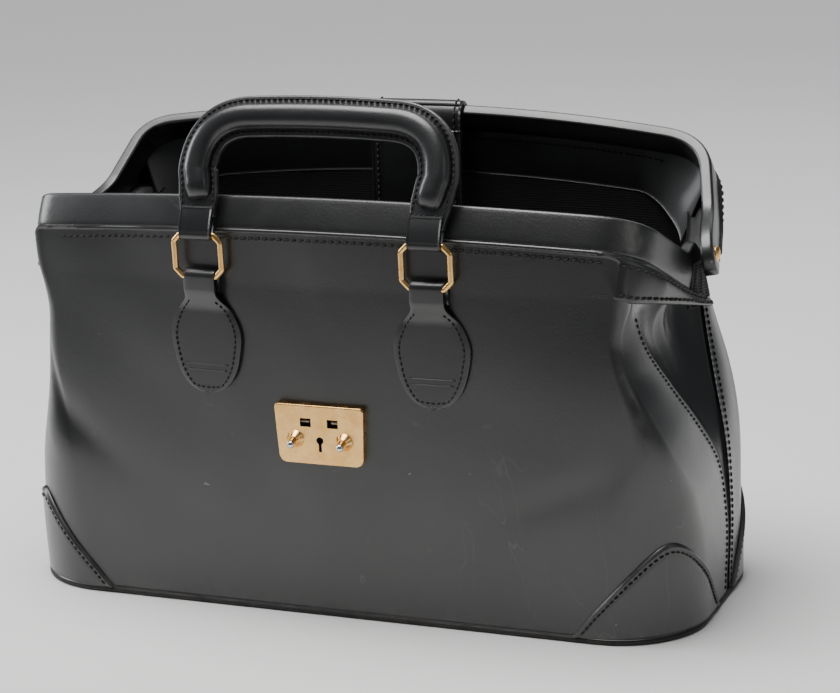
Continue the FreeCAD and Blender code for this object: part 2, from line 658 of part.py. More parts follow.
def flap_drop():
    """From the flap's lower bend to its staples."""
    lean = math.radians(shut_lean())
    bend = Vector(0, FLAP_Y - flap_top_length() + HALF_GAP + BAND, FLAP_UP)
    below_welt = -(bend.y * math.sin(lean) + bend.z * math.cos(lean))
    return LOCK_DROP - SLOT_UP - below_welt


def flap_pivot():
    """World place of the flap's upper bend, on the open rear bar."""
    place = turned(Part.Vertex(Vector(0, FLAP_Y, MOUTH_R + FLAP_UP)), -OPEN_R)
    return place.Point + Vector(0, 0, HINGE_Z)


def flap_edge_bend():
    angle = math.radians(OPEN_R)
    pivot = flap_pivot()
    return Vector(0, pivot.y - FLAP_EDGE * math.sin(angle), pivot.z - FLAP_EDGE * math.cos(angle))


def flap_elbow():
    return flap_edge_bend() - Vector(0, 0, flap_top_length() - FLAP_EDGE)


def flap_strip(long):
    half = FLAP_W / 2
    return box(-half, half, -FLAP_T / 2, FLAP_T / 2, -long + FLAP_GAP, -FLAP_GAP)


def make_flap():
    half = FLAP_W / 2
    over = FLAP_UP - FLAP_T / 2
    root = box(-half, half, FLAP_Y + ROLL_R + 0.3, HALF_GAP + BAND - 2, MOUTH_R + over, MOUTH_R + over + FLAP_T)
    edge = rod_x(ROLL_R, -half, half, FLAP_Y + ROLL_R + 0.3, MOUTH_R + FLAP_UP)
    root = root.fuse(edge).removeSplitter()
    save("flap_root", moved(turned(root, -OPEN_R), z=HINGE_Z))

    pivot = flap_pivot()
    save("flap_edge", moved(turned(flap_strip(FLAP_EDGE), -OPEN_R), y=pivot.y, z=pivot.z))
    bend = flap_edge_bend()
    save("flap_bridge", moved(flap_strip(flap_top_length() - FLAP_EDGE), y=bend.y, z=bend.z))

    elbow = flap_elbow()
    drop = flap_drop()
    end = -drop - HASP_BELOW
    tongue = box(-half, half, -FLAP_T / 2, FLAP_T / 2, end, -FLAP_GAP)
    lower = [e for e in tongue.Edges if all(abs(v.Z - end) < 1e-6 for v in e.Vertexes)
             and abs(e.Vertexes[0].Y - e.Vertexes[1].Y) > 0.5]
    tongue = tongue.makeFillet(TONGUE_R, lower)
    save("flap_tongue", moved(tongue, y=elbow.y, z=elbow.z))
    back = FLAP_T / 2
    hasp = box(-HASP_W / 2, HASP_W / 2, back, back + HASP_T, end + 0.8, end + 0.8 + HASP_H)
    save("hasp_plate", moved(hasp, y=elbow.y, z=elbow.z))
    staples = []
    for x in (-SLOT_X, SLOT_X):
        root = back + HASP_T
        staple = box(x - STAPLE_HALF, x + STAPLE_HALF, root, root + STAPLE_DEPTH, -drop - 2, -drop + 2)
        eye_y = root + HASP_CLEAR + PLATE_T + FIT - BOLT_DEEP
        staples.append(staple.cut(rod_x(STAPLE_EYE_R, x - 2, x + 2, eye_y, -drop)))
    save("hasp_staples", moved(Part.makeCompound(staples), y=elbow.y, z=elbow.z))


make_base()
make_side_walls()
make_corner_patches()
make_panels()
make_side_folds()
half_mouth(-1, OPEN_F, 0.0, "front")
half_mouth(1, OPEN_R, REAR_LAYER, "rear")
make_handles()
make_lock()
make_flap()
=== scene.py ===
import json
import math

import bpy
import numpy as np
from mathutils import Matrix, Vector


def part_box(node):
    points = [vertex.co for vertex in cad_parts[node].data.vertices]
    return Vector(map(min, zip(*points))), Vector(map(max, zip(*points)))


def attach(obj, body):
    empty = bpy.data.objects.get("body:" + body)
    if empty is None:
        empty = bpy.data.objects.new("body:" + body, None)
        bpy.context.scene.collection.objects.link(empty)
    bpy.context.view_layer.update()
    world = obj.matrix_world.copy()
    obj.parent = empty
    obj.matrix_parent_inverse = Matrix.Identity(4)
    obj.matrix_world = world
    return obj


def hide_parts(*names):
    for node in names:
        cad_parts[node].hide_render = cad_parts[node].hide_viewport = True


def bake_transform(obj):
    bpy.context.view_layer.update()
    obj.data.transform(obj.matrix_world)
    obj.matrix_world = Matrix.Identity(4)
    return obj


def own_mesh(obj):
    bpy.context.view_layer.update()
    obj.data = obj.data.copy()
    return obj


# An open doctor bag in black leather. Lengths are millimetres in the frame's axes:
# +X right, +Y back, +Z up.
# side is -1 for the front half and +1 for the rear half; hand is -1 for the left and +1 for the right.

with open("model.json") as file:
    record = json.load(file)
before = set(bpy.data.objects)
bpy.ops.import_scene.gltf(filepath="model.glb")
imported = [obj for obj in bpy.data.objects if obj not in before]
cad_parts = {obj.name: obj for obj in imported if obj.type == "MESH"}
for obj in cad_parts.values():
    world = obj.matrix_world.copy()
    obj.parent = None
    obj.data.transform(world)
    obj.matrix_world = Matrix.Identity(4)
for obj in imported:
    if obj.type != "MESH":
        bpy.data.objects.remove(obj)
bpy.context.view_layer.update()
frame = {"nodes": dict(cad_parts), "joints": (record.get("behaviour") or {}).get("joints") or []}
MM = 0.001
rng = np.random.default_rng(11)
JOINTS = {j["name"]: j for j in frame["joints"]}
SIDES = {-1: "front", 1: "rear"}
HANDS = {-1: "left", 1: "right"}


def joint_point(name):
    return np.array(JOINTS[name]["pos_m"]) / MM


def node_box(name):
    low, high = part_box(name)
    return np.array(low) / MM, np.array(high) / MM


# ---- sizes read from the frame -------------------------------------------------------------------
BASE_X, BASE_Y = node_box("base_leather")[1][:2]
HINGE_Z = sum(node_box("rear_rivets"))[2] / 2
WELT = {s: joint_point(SIDES[s] + "_mouth_tilt") for s in SIDES}
OPENING = {s: sum(JOINTS[SIDES[s] + move]["range_deg"][1] for move in ("_fold", "_mouth_tilt"))
           for s in SIDES}
RING_PIVOT = {s: joint_point(SIDES[s] + "_ring_swing") for s in SIDES}
HANDLE_PIVOT = {s: joint_point(SIDES[s] + "_handle_swing") for s in SIDES}
RING_X = sum(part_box("ring_front_right")[k][0] for k in (0, 1)) / 2 / MM
X_AXIS = np.array([1.0, 0, 0])

# ---- sizes of the bars, as the CAD has them ------------------------------------------------------
HALF_GAP = 2.5
BAND = 19.5
BAR_T = 7.0
ARCH = 15.5
CORNER_X = 175.0
KNEE_V = 40.0
ARM_X = {s: node_box(SIDES[s] + "_bar_cover")[1][0] for s in SIDES}
# an arm's offset from ARM_X by height over the rivets, and each corner's extra width and cut
ARM_SHAPE = {-1: ((0.0, 0.0), (-0.8, 17.0), (-3.2, KNEE_V)), 1: ((0.0, 0.0), (-4.0, 17.0), (-9.0, KNEE_V))}
CORNERS = {(-1, 1): (0.0, 26.0), (-1, -1): (5.0, 13.0), (1, -1): (3.0, 20.0), (1, 1): (3.0, 24.0)}
BASE_R = 48.0


# ---- small maths ---------------------------------------------------------------------------------
def unit(v):
    v = np.asarray(v, float)
    return v / np.maximum(np.linalg.norm(v, axis=-1, keepdims=True), 1e-9)


def smooth(t):
    t = np.clip(t, 0, 1)
    return t * t * (3 - 2 * t)


def keyed(z, keys):
    """Smooth curve through (z, value) keys, with a level start and end."""
    zs = np.array([k[0] for k in keys], float)
    vs = np.array([k[1] for k in keys], float)
    slopes = np.gradient(vs, zs)
    slopes[0] = slopes[-1] = 0
    z = np.clip(z, zs[0], zs[-1])
    i = np.clip(np.searchsorted(zs, z) - 1, 0, len(zs) - 2)
    h = zs[i + 1] - zs[i]
    t = (z - zs[i]) / h
    return (vs[i] * (1 + 2 * t) * (1 - t) ** 2 + slopes[i] * h * t * (1 - t) ** 2
            + vs[i + 1] * t * t * (3 - 2 * t) - slopes[i + 1] * h * t * t * (1 - t))


def resample(path, count):
    """The same line with its points evenly spaced."""
    path = np.asarray(path, float)
    length = np.r_[0, np.cumsum(np.linalg.norm(np.diff(path, axis=0), axis=1))]
    at = np.linspace(0, length[-1], count)
    return np.stack([np.interp(at, length, path[:, k]) for k in range(path.shape[1])], 1)


def line_length(path):
    return float(np.linalg.norm(np.diff(np.asarray(path), axis=0), axis=1).sum())


def tangents(path):
    return unit(np.gradient(path, axis=0))


def bezier(a, b, c, count):
    t = np.linspace(0, 1, count)[:, None]
    a, b, c = (np.asarray(p, float) for p in (a, b, c))
    return a * (1 - t) ** 2 + 2 * b * t * (1 - t) + c * t * t


def grid_normals(points):
    across = np.gradient(points, axis=0)
    along = np.gradient(points, axis=1)
    return unit(np.cross(across, along))


def ripple(x, z, seed, size=45.0):
    """Gentle unevenness of leather, about -1 to 1."""
    r = np.random.default_rng(seed)
    total = 0
    for _ in range(5):
        a, b, c = r.normal(0, 1, 3)
        total = total + np.sin((a * x + b * z) / size * 2.2 + 3 * c)
    return total / 5


def steps(rows, columns, low=0.0):
    """Two grids: 0 to 1 down the rows, and low to 1 along the columns."""
    return np.meshgrid(np.linspace(0, 1, rows), np.linspace(low, 1, columns), indexing="ij")


def sideways(line):
    """Unit directions square to a flat line."""
    along = tangents(line)
    return np.stack([along[:, 1], -along[:, 0]], 1)


# ---- meshes --------------------------------------------------------------------------------------
def grid_faces(rows, columns, wrap_rows=False, wrap_columns=False):
    i = np.arange(rows if wrap_rows else rows - 1)[:, None]
    j = np.arange(columns if wrap_columns else columns - 1)[None, :]
    i2, j2 = (i + 1) % rows, (j + 1) % columns
    quads = np.stack([i * columns + j + 0 * i2, i2 * columns + j, i2 * columns + j2, i * columns + j2], -1)
    return quads.reshape(-1, 4)


def make(name, verts, faces, materials, body=None, slot=None, indices=None, wear=None):
    """A mesh object in millimetres; wear is a number at each point that the materials read."""
    mesh = bpy.data.meshes.new(name)
    faces = [list(map(int, f)) for f in faces]
    mesh.from_pydata((np.asarray(verts, float) * MM).tolist(), [], faces)
    for material in materials if isinstance(materials, (list, tuple)) else [materials]:
        mesh.materials.append(material)
    if indices is not None:
        mesh.polygons.foreach_set("material_index", np.asarray(indices, np.int32))
    if wear is not None:
        layer = mesh.attributes.new("wear", "FLOAT", "POINT")
        layer.data.foreach_set("value", np.asarray(wear, np.float32))
    mesh.polygons.foreach_set("use_smooth", np.ones(len(mesh.polygons), bool))
    mesh.validate()
    piece = bpy.data.objects.new(name, mesh)
    bpy.context.scene.collection.objects.link(piece)
    if body:
        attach(piece, body)
    return piece


def shell(name, outer, thickness, materials, flip=False, wear=None, rim_wear=0.5, **how):
    """A sheet of real thickness from a grid of points on its outer face; materials: outside, inside."""
    outer = np.asarray(outer, float)
    if flip:
        outer = outer[:, ::-1]
        wear = None if wear is None else wear[:, ::-1]
    rows, columns = outer.shape[:2]
    inner = outer - grid_normals(outer) * thickness
    count = rows * columns
    faces = grid_faces(rows, columns)
    loop = ([(0, j) for j in range(columns)] + [(i, columns - 1) for i in range(1, rows)]
            + [(rows - 1, j) for j in range(columns - 2, -1, -1)]
            + [(i, 0) for i in range(rows - 2, 0, -1)])
    ids = np.array([i * columns + j for i, j in loop])
    flat_outer, flat_inner = outer.reshape(-1, 3), inner.reshape(-1, 3)
    middle = (flat_outer[ids] + flat_inner[ids]) / 2
    inward = np.array([outer[np.clip(i, 1, rows - 2), np.clip(j, 1, columns - 2)] for i, j in loop])
    middle = middle + unit(flat_outer[ids] - inward) * thickness * 0.35
    rim = 2 * count + np.arange(len(ids))
    nxt = np.roll(ids, -1)
    rim_next = np.roll(rim, -1)
    sides = np.r_[np.stack([ids, rim, rim_next, nxt], 1),
                  np.stack([rim, ids + count, nxt + count, rim_next], 1)]
    verts = np.r_[flat_outer, flat_inner, middle]
    all_faces = np.r_[faces, faces[:, ::-1] + count, sides]
    indices = np.r_[np.zeros(len(faces)), np.ones(len(faces)), np.zeros(len(sides))]
    top = np.zeros(count) if wear is None else np.asarray(wear, float).reshape(-1)
    worn = np.r_[top, np.zeros(count), np.full(len(ids), rim_wear)]
    return make(name, verts, all_faces, materials, indices=indices, wear=worn, **how)


def sweep_rings(rings, closed_path=False):
    """Verts and faces of a tube through rings of points, (n, m, 3); an open tube gets end faces."""
    n, m = rings.shape[:2]
    faces = [list(f) for f in grid_faces(n, m, closed_path, True)]
    if not closed_path:
        faces.append(list(range(m)))
        faces.append(list(range((n - 1) * m, n * m))[::-1])
    return rings.reshape(-1, 3), faces


def joined(parts):
    """One (verts, faces) from several."""
    verts, faces, offset = [], [], 0
    for v, f in parts:
        verts.append(v)
        faces += [[i + offset for i in face] for face in f]
        offset += len(v)
    return np.concatenate(verts), faces


def round_ring(count):
    t = np.linspace(0, 2 * math.pi, count, endpoint=False)
    return np.stack([np.cos(t), np.sin(t)], 1)


def tube(name, path, radius, materials, closed=False, count=10, up=(0, 0, 1), flat=1.0, **how):
    """A round rod along a path; flat squeezes it along the second direction of its section."""
    path = np.asarray(path, float)
    direction = unit(np.roll(path, -1, 0) - np.roll(path, 1, 0)) if closed else tangents(path)
    first = unit(np.cross(direction, np.asarray(up, float)))
    second = np.cross(first, direction)
    ring = round_ring(count)
    radius = np.broadcast_to(np.asarray(radius, float), (len(path),))[:, None, None]
    spokes = first[:, None] * ring[None, :, :1] + flat * second[:, None] * ring[None, :, 1:]
    return make(name, *sweep_rings(path[:, None] + radius * spokes, closed), materials, **how)


def rounded_profile(width, height, radius, crown=0.0, steps=5, across=9):
    """Closed outline of a rounded bar: the first half runs along its upper face, crowned in the middle."""
    w, h = width / 2, height / 2
    points = []
    corners = [(w - radius, h - radius, 0), (-(w - radius), h - radius, 90),
               (-(w - radius), -(h - radius), 180), (w - radius, -(h - radius), 270)]
    for cx, cy, start in corners:
        for k in range(steps + 1):
            t = math.radians(start + 90 * k / steps)
            points.append((cx + radius * math.cos(t), cy + radius * math.sin(t)))
        if start in (0, 180):
            sign = 1 if start == 0 else -1
            for k in range(1, across):
                points.append((sign * (w - radius) * (1 - 2 * k / across), sign * h))
    points = np.array(points)
    top = points[:, 1] > 0
    points[top, 1] += crown * (1 - (points[top, 0] / w) ** 2)
    return points


# ---- stitches ------------------------------------------------------------------------------------
STITCH_PITCH = 3.6
STITCH_LONG = 2.9
THREAD_R = 0.45
WELT_STITCH = {"pitch": 4.3, "long": 3.8, "radius": 0.75, "lift": 0.55, "slant": 0.16}


def stitch_geometry(path, normals, pitch=STITCH_PITCH, long=STITCH_LONG, radius=THREAD_R, lift=0.32,
                    slant=0.0):
    """Separate stitches along a line: each is a bent thread whose ends go into the leather."""
    total = line_length(path)
    count = max(int(total / pitch), 1)
    path = np.asarray(path, float)
    normals = np.asarray(normals, float)
    at = np.r_[0, np.cumsum(np.linalg.norm(np.diff(path, axis=0), axis=1))]
    parts = []
    ring = round_ring(6)
    stations = np.array([-0.5, -0.4, -0.2, 0.0, 0.2, 0.4, 0.5])
    height = lift - (np.abs(stations) * 2) ** 3 * (lift + radius * 1.1)
    girth = radius * np.array([0.55, 0.9, 1.0, 1.0, 1.0, 0.9, 0.55])
    for k in range(count):
        middle = (k + 0.5) * total / count + rng.normal(0, 0.07)
        here = np.array([[np.interp(middle + d, at, path[:, c]) for c in range(3)] for d in (-0.5, 0, 0.5)])
        normal = unit([np.interp(middle, at, normals[:, c]) for c in range(3)])
        along = unit(here[2] - here[0])
        beside = np.cross(normal, along)
        turn = slant + rng.normal(0, 0.035)
        along = along * math.cos(turn) + beside * math.sin(turn)
        beside = np.cross(normal, along)
        size = long * (1 + rng.normal(0, 0.03))
        base = here[1] + along * (stations * size)[:, None] + normal * height[:, None]
        spokes = beside * ring[None, :, :1] + normal * ring[None, :, 1:]
        parts.append(sweep_rings(base[:, None] + girth[:, None, None] * spokes))
    return joined(parts)


def stitches(name, lines, **how):
    """One piece of thread for several lines, each of them (path, normals)."""
    options = {k: how.pop(k) for k in ("pitch", "long", "radius", "lift", "slant") if k in how}
    return make(name, *joined([stitch_geometry(*line, **options) for line in lines]), THREAD, **how)


# ---- materials -----------------------------------------------------------------------------------
class Nodes:
    """Short way to build a node material: each call adds a node and returns it."""

    def __init__(self, name):
        self.material = bpy.data.materials.new(name)
        self.material.use_nodes = True
        self.tree = self.material.node_tree
        self.tree.nodes.clear()
        self.out = self.add("ShaderNodeOutputMaterial")
        self.surface = self.add("ShaderNodeBsdfPrincipled")
        self.link(self.surface.outputs["BSDF"], self.out.inputs["Surface"])
        self.place = self.add("ShaderNodeTexCoord").outputs["Object"]

    def add(self, kind, **values):
        node = self.tree.nodes.new(kind)
        for key, value in values.items():
            setattr(node, key, value)
        return node

    def link(self, a, b):
        self.tree.links.new(a, b)

    def stretch(self, scale, rotation=(0, 0, 0)):
        node = self.add("ShaderNodeMapping")
        node.inputs["Scale"].default_value = scale
        node.inputs["Rotation"].default_value = rotation
        self.link(self.place, node.inputs["Vector"])
        return node.outputs["Vector"]

    def noise(self, scale, detail=4.0, roughness=0.55, vector=None, distortion=0.0):
        node = self.add("ShaderNodeTexNoise")
        node.inputs["Scale"].default_value = scale
        node.inputs["Detail"].default_value = detail
        node.inputs["Roughness"].default_value = roughness
        node.inputs["Distortion"].default_value = distortion
        self.link(vector or self.place, node.inputs["Vector"])
        return node.outputs["Fac"]

    def cells(self, scale):
        node = self.add("ShaderNodeTexVoronoi", feature="SMOOTH_F1")
        node.inputs["Scale"].default_value = scale
        node.inputs["Smoothness"].default_value = 0.6
        self.link(self.place, node.inputs["Vector"])
        return node.outputs["Distance"]

    def waves(self, scale, direction, distortion):
        node = self.add("ShaderNodeTexWave", wave_type="BANDS", bands_direction=direction)
        node.inputs["Scale"].default_value = scale
        node.inputs["Distortion"].default_value = distortion
        node.inputs["Detail Scale"].default_value = 2.0
        self.link(self.place, node.inputs["Vector"])
        return node.outputs["Fac"]

    def ranged(self, value, low, high, to_low=0.0, to_high=1.0):
        node = self.add("ShaderNodeMapRange", clamp=True)
        for key, number in zip(("From Min", "From Max", "To Min", "To Max"), (low, high, to_low, to_high)):
            node.inputs[key].default_value = number
        self.link(value, node.inputs["Value"])
        return node.outputs["Result"]

    def maths(self, operation, a, b):
        node = self.add("ShaderNodeMath", operation=operation)
        for socket, value in zip(node.inputs, (a, b)):
            if isinstance(value, (int, float)):
                socket.default_value = value
            else:
                self.link(value, socket)
        return node.outputs["Value"]

    def mix(self, factor, a, b):
        node = self.add("ShaderNodeMix", data_type="RGBA")
        self.link(factor, node.inputs[0])
        for socket, value in ((node.inputs[6], a), (node.inputs[7], b)):
            if isinstance(value, tuple):
                socket.default_value = (*value, 1.0)
            else:
                self.link(value, socket)
        return node.outputs[2]

    def bump(self, height, distance, strength=1.0, after=None):
        node = self.add("ShaderNodeBump")
        node.inputs["Strength"].default_value = strength
        node.inputs["Distance"].default_value = distance
        self.link(height, node.inputs["Height"])
        if after:
            self.link(after, node.inputs["Normal"])
        return node.outputs["Normal"]

    def attribute(self, name):
        return self.add("ShaderNodeAttribute", attribute_name=name).outputs["Fac"]

    def finish(self, colour, roughness, normal=None, **constants):
        self.link(colour, self.surface.inputs["Base Color"])
        self.link(roughness, self.surface.inputs["Roughness"])
        if normal:
            self.link(normal, self.surface.inputs["Normal"])
        for key, value in constants.items():
            self.surface.inputs[key.replace("_", " ")].default_value = value
        return self.material


def leather_material(name, dark, light, worn, rough=(0.31, 0.45), grain=1.0, scuffs=0.5):
    """Black leather with creases and pores, rubbed edges, scuffs, thin scratches and pale specks."""
    n = Nodes(name)
    patchy = n.ranged(n.noise(9.0, 5.0), 0.35, 0.68)
    colour = n.mix(patchy, dark, light)
    fine = n.noise(240.0, 6.0, 0.6)
    scuff_field = n.noise(34.0, 8.0, 0.68, n.stretch((1.0, 1.0, 2.4), (0.2, 0.5, 0.9)), 0.4)
    scuff = n.ranged(scuff_field, 0.66, 0.76, 0.0, scuffs)
    colour = n.mix(scuff, colour, worn)
    edge = n.maths("MULTIPLY", n.attribute("wear"), n.ranged(n.noise(70.0, 6.0, 0.7), 0.38, 0.62))
    colour = n.mix(edge, colour, worn)
    dull = n.ranged(n.noise(14.0, 6.0, 0.6, None, 0.3), 0.3, 0.7, *rough)
    roughness = n.maths("ADD", dull, n.maths("MULTIPLY", scuff, 0.18))
    creases = n.bump(n.noise(48.0, 5.0, 0.62), 0.0009, 0.12 * grain)
    pores = n.bump(n.cells(820.0), 0.00016, 0.28 * grain, creases)
    normal = n.bump(fine, 0.0002, 0.22 * grain, pores)
    winding = n.noise(19.0, 3.0, 0.5, n.stretch((1.0, 1.0, 0.35), (0.3, 0.9, 0.2)), 0.6)
    line_field = n.maths("ABSOLUTE", n.maths("SUBTRACT", winding, 0.5), 0)
    line_patch = n.ranged(n.noise(8.0, 3.0), 0.54, 0.62, 0.0, scuffs * 0.5)
    line = n.maths("MULTIPLY", n.ranged(line_field, 0.0, 0.0025, 1.0, 0.0), line_patch)
    colour = n.mix(line, colour, (0.11, 0.11, 0.11))
    speck_field = n.noise(130.0, 3.0, 0.5, n.stretch((1.0, 1.0, 1.6), (0.4, 0.1, 0.6)))
    speck = n.ranged(speck_field, 0.745, 0.765)
    speck = n.maths("MULTIPLY", speck, n.ranged(n.noise(11.0, 2.0), 0.5, 0.6, 0.0, scuffs * 0.9))
    colour = n.mix(speck, colour, (0.30, 0.30, 0.29))
    return n.finish(colour, roughness, normal, Specular_IOR_Level=0.72, Coat_Weight=0.4, Coat_Roughness=0.2)


def metal_material(name, clean, stained, rough=(0.16, 0.34), scratch=0.5):
    """Polished metal with faint stains and fine scratches."""
    n = Nodes(name)
    stain = n.ranged(n.noise(90.0, 8.0, 0.65), 0.42, 0.72)
    colour = n.mix(stain, clean, stained)
    lines = n.noise(700.0, 3.0, 0.6, n.stretch((1.0, 0.4, 0.06), (0.3, 0.2, 0.5)))
    roughness = n.ranged(n.noise(160.0, 6.0), 0.3, 0.7, *rough)
    normal = n.bump(lines, 0.00006, scratch, n.bump(n.noise(60.0, 3.0), 0.0004, 0.12))
    return n.finish(colour, roughness, normal, Metallic=1.0)


def cloth_material(name, dark, light, pitch, direction="Z", depth=0.5, roughness=0.86, cross=0.0):
    """Woven cloth: ribs every pitch millimetres along one axis, and optional crossing threads."""
    n = Nodes(name)
    per_metre = 1.0 / (pitch * MM)
    ribs = n.waves(per_metre / (2 * math.pi) * 2, direction, 0.6)
    threads = n.waves(per_metre / (2 * math.pi) * 3, "X" if direction != "X" else "Y", 0.8)
    shade = n.mix(n.ranged(ribs, 0.2, 0.9), dark, light)
    shade = n.mix(n.ranged(n.noise(26.0, 5.0), 0.3, 0.75, 0.0, 0.45), shade, dark)
    rough = n.ranged(n.noise(300.0, 3.0), 0.2, 0.8, roughness - 0.08, roughness + 0.06)
    normal = n.bump(ribs, 0.0003, depth)
    normal = n.bump(threads, 0.0002, 0.25 + cross, normal)
    return n.finish(shade, rough, normal, Specular_IOR_Level=0.25, Sheen_Weight=0.15, Sheen_Roughness=0.5)


def edge_material():
    """Welt cord of the base: black, rubbed through to tan in spots."""
    n = Nodes("welt_edge")
    rubbed = n.ranged(n.noise(16.0, 7.0, 0.72), 0.585, 0.65)
    colour = n.mix(n.ranged(n.noise(150.0, 4.0), 0.3, 0.7), (0.010, 0.009, 0.009), (0.03, 0.026, 0.024))
    colour = n.mix(rubbed, colour, (0.36, 0.20, 0.14))
    rough = n.ranged(n.noise(120.0, 5.0), 0.3, 0.7, 0.45, 0.75)
    return n.finish(colour, rough, n.bump(n.noise(420.0, 5.0), 0.0003, 0.4), Specular_IOR_Level=0.4)


def thread_material():
    """Dark waxed thread, twisted."""
    n = Nodes("thread")
    twist = n.waves(260.0, "DIAGONAL", 1.5)
    colour = n.mix(twist, (0.006, 0.0055, 0.005), (0.026, 0.022, 0.019))
    rough = n.ranged(n.noise(400.0, 2.0), 0.3, 0.7, 0.5, 0.75)
    return n.finish(colour, rough, n.bump(twist, 0.0002, 0.6), Specular_IOR_Level=0.35)


def board_material():
    """Brown fibreboard; the leather and the lining hide it."""
    n = Nodes("fibreboard")
    colour = n.mix(n.noise(300.0, 6.0), (0.11, 0.075, 0.045), (0.2, 0.14, 0.09))
    rough = n.ranged(n.noise(80.0), 0.3, 0.7, 0.7, 0.9)
    return n.finish(colour, rough, n.bump(n.noise(500.0, 5.0), 0.0003, 0.5))


LEATHER = leather_material("leather", (0.0052, 0.0054, 0.0058), (0.0098, 0.0100, 0.0104),
                           (0.085, 0.08, 0.075))
HANDLE_LEATHER = leather_material("handle_leather", (0.005, 0.0053, 0.006), (0.010, 0.0104, 0.0112),
                                  (0.085, 0.08, 0.075), (0.32, 0.46), 0.9, 0.25)
# leather of the inside faces: rougher than the outer leather, and darker as painted shade inside the bag
SHADED_INNER_LEATHER = leather_material("shaded_inner_leather", (0.004, 0.004, 0.0045), (0.008, 0.008, 0.0085),
                                 (0.05, 0.046, 0.042), (0.55, 0.7), 1.2, 0.2)
LINING = cloth_material("lining", (0.006, 0.006, 0.0065), (0.022, 0.022, 0.023), 1.5)
WEBBING = cloth_material("webbing", (0.007, 0.007, 0.0075), (0.03, 0.03, 0.031), 1.7, "Z", 1.0, 0.8, 0.5)
EDGE = edge_material()
THREAD = thread_material()
BOARD = board_material()
BRASS = metal_material("brass", (1.0, 0.62, 0.24), (0.82, 0.45, 0.14))
TIP_METAL = metal_material("tip_metal", (0.80, 0.79, 0.77), (0.62, 0.60, 0.57), (0.1, 0.22))
STEEL = metal_material("steel", (0.42, 0.42, 0.43), (0.30, 0.29, 0.29), (0.3, 0.5))
# CAD pieces that keep their own shape
CAD_FINISH = {"base_board": BOARD, "lock_plate": BRASS, "lock_backplate": STEEL, "lock_studs": STEEL,
              "hasp_plate": BRASS, "hasp_staples": BRASS}
for hand_name in HANDS.values():
    CAD_FINISH["lock_knob_" + hand_name] = BRASS
    CAD_FINISH["lock_tip_" + hand_name] = TIP_METAL
    CAD_FINISH["lock_bolt_" + hand_name] = STEEL
for node_name, finish in CAD_FINISH.items():
    for material_slot in frame["nodes"][node_name].material_slots:
        material_slot.material = finish


# ---- the mouth's bars: a hoop in its own plane, tilted open about the rivets ---------------------
def tilt(side, points):
    """From a bar's shut frame (x, y, height above the rivets) to the open bag."""
    points = np.asarray(points, float)
    a = math.radians(-side * OPENING[side])
    y = points[..., 1] * math.cos(a) - points[..., 2] * math.sin(a)
    z = HINGE_Z + points[..., 1] * math.sin(a) + points[..., 2] * math.cos(a)
    return np.stack([points[..., 0], y, z], -1)


MOUTH_R = float(np.hypot(WELT[-1][1], WELT[-1][2] - HINGE_Z) ** 2 - (HALF_GAP + BAND) ** 2) ** 0.5


def half_hoop(side, foot, hand=1):
    """One half of a bar's outline from its foot to mid-length, as (x, v) for the right hand."""
    wider, cut = CORNERS[side, hand]
    corner_x = CORNER_X + wider
    corner = np.array([corner_x, MOUTH_R - ARCH * (corner_x / CORNER_X) ** 2])
    arm = [np.array([ARM_X[side] + dx, v]) for dx, v in ARM_SHAPE[side]]
    start = arm[0] + (arm[1] - arm[0]) * (foot - arm[0][1]) / (arm[1][1] - arm[0][1])
    x = np.linspace(corner_x, 0, 160)
    arc = np.stack([x, MOUTH_R - ARCH * (x / CORNER_X) ** 2], 1)
    arc = arc[x < corner_x - cut]
    below = corner + unit(arm[2] - corner) * cut
    legs = bezier(start, arm[1], below, 20)
    bend = bezier(below, corner + np.array([1.5, 0]), arc[0], 16)
    return np.concatenate([legs[:-1], bend[:-1], arc])


def hoop_line(side, foot, count=241):
    """Whole outline, left foot to right foot: points (x, v) and outward normals, evenly spaced."""
    left, right = (half_hoop(side, foot, hand) for hand in HANDS)
    whole = np.concatenate([left * [-1, 1], right[::-1][1:]])
    whole = resample(whole, count)
    along = tangents(whole)
    return whole, np.stack([-along[:, 1], along[:, 0]], 1)


TAB_R = 11.0
FULL = HALF_GAP + BAND


def band_edges(side, v):
    """Distances of a bar's nearer and further edge from the closing plane, at a height above the rivets."""
    foot = np.sqrt(np.maximum(1 - (np.minimum(v, 0) / TAB_R) ** 2, 0.04))
    if side < 0:                   # the inner arm keeps its width; its end is hidden by the outer one
        near = HALF_GAP - 8.5 * smooth((13 - v) / 12)
        return near * foot, FULL * foot
    share = smooth((38 - v) / 37)
    return (HALF_GAP * (1 - share) - TAB_R * share) * foot, (FULL * (1 - share) + TAB_R * share) * foot


def make_bar(side):
    """A bar's leather cover over its steel, and the welt cord along its further edge."""
    name = SIDES[side]
    line, normal = hoop_line(side, -TAB_R + 0.4, 301)
    v = line[:, 1]
    near, far = band_edges(side, v)
    middle, half = (near + far) / 2, (far - near) / 2
    profile = rounded_profile(BAND, BAR_T, 1.7, 0.35)
    rings = []
    for k in range(len(line)):
        b = profile[:, 0] * half[k] / (BAND / 2) + middle[k]
        depth = profile[:, 1] - BAR_T / 2 - 0.3
        spot = line[k] + normal[k] * depth[:, None]
        rings.append(np.stack([spot[:, 0], side * b, spot[:, 1]], 1))
    rings = tilt(side, np.array(rings))[:, ::side]
    near_corner = np.exp(-((np.abs(line[:, 0]) - 172) / 9.0) ** 2) * (v > 55)
    wear = np.repeat(near_corner * 0.7, rings.shape[1])
    cover = make(name + "_bar_leather", *sweep_rings(rings), LEATHER, name + "_mouth", "leather", wear=wear)
    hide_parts(name + "_bar_cover", name + "_bar_steel")
    cord = line[v > 2] - normal[v > 2] * 1.4
    cord = tilt(side, np.stack([cord[:, 0], side * (far[v > 2] + 0.7), cord[:, 1]], 1))
    tube(name + "_mouth_welt", cord, 1.45, LEATHER, up=(0, 0.3, 1), body=name + "_mouth", slot="leather")


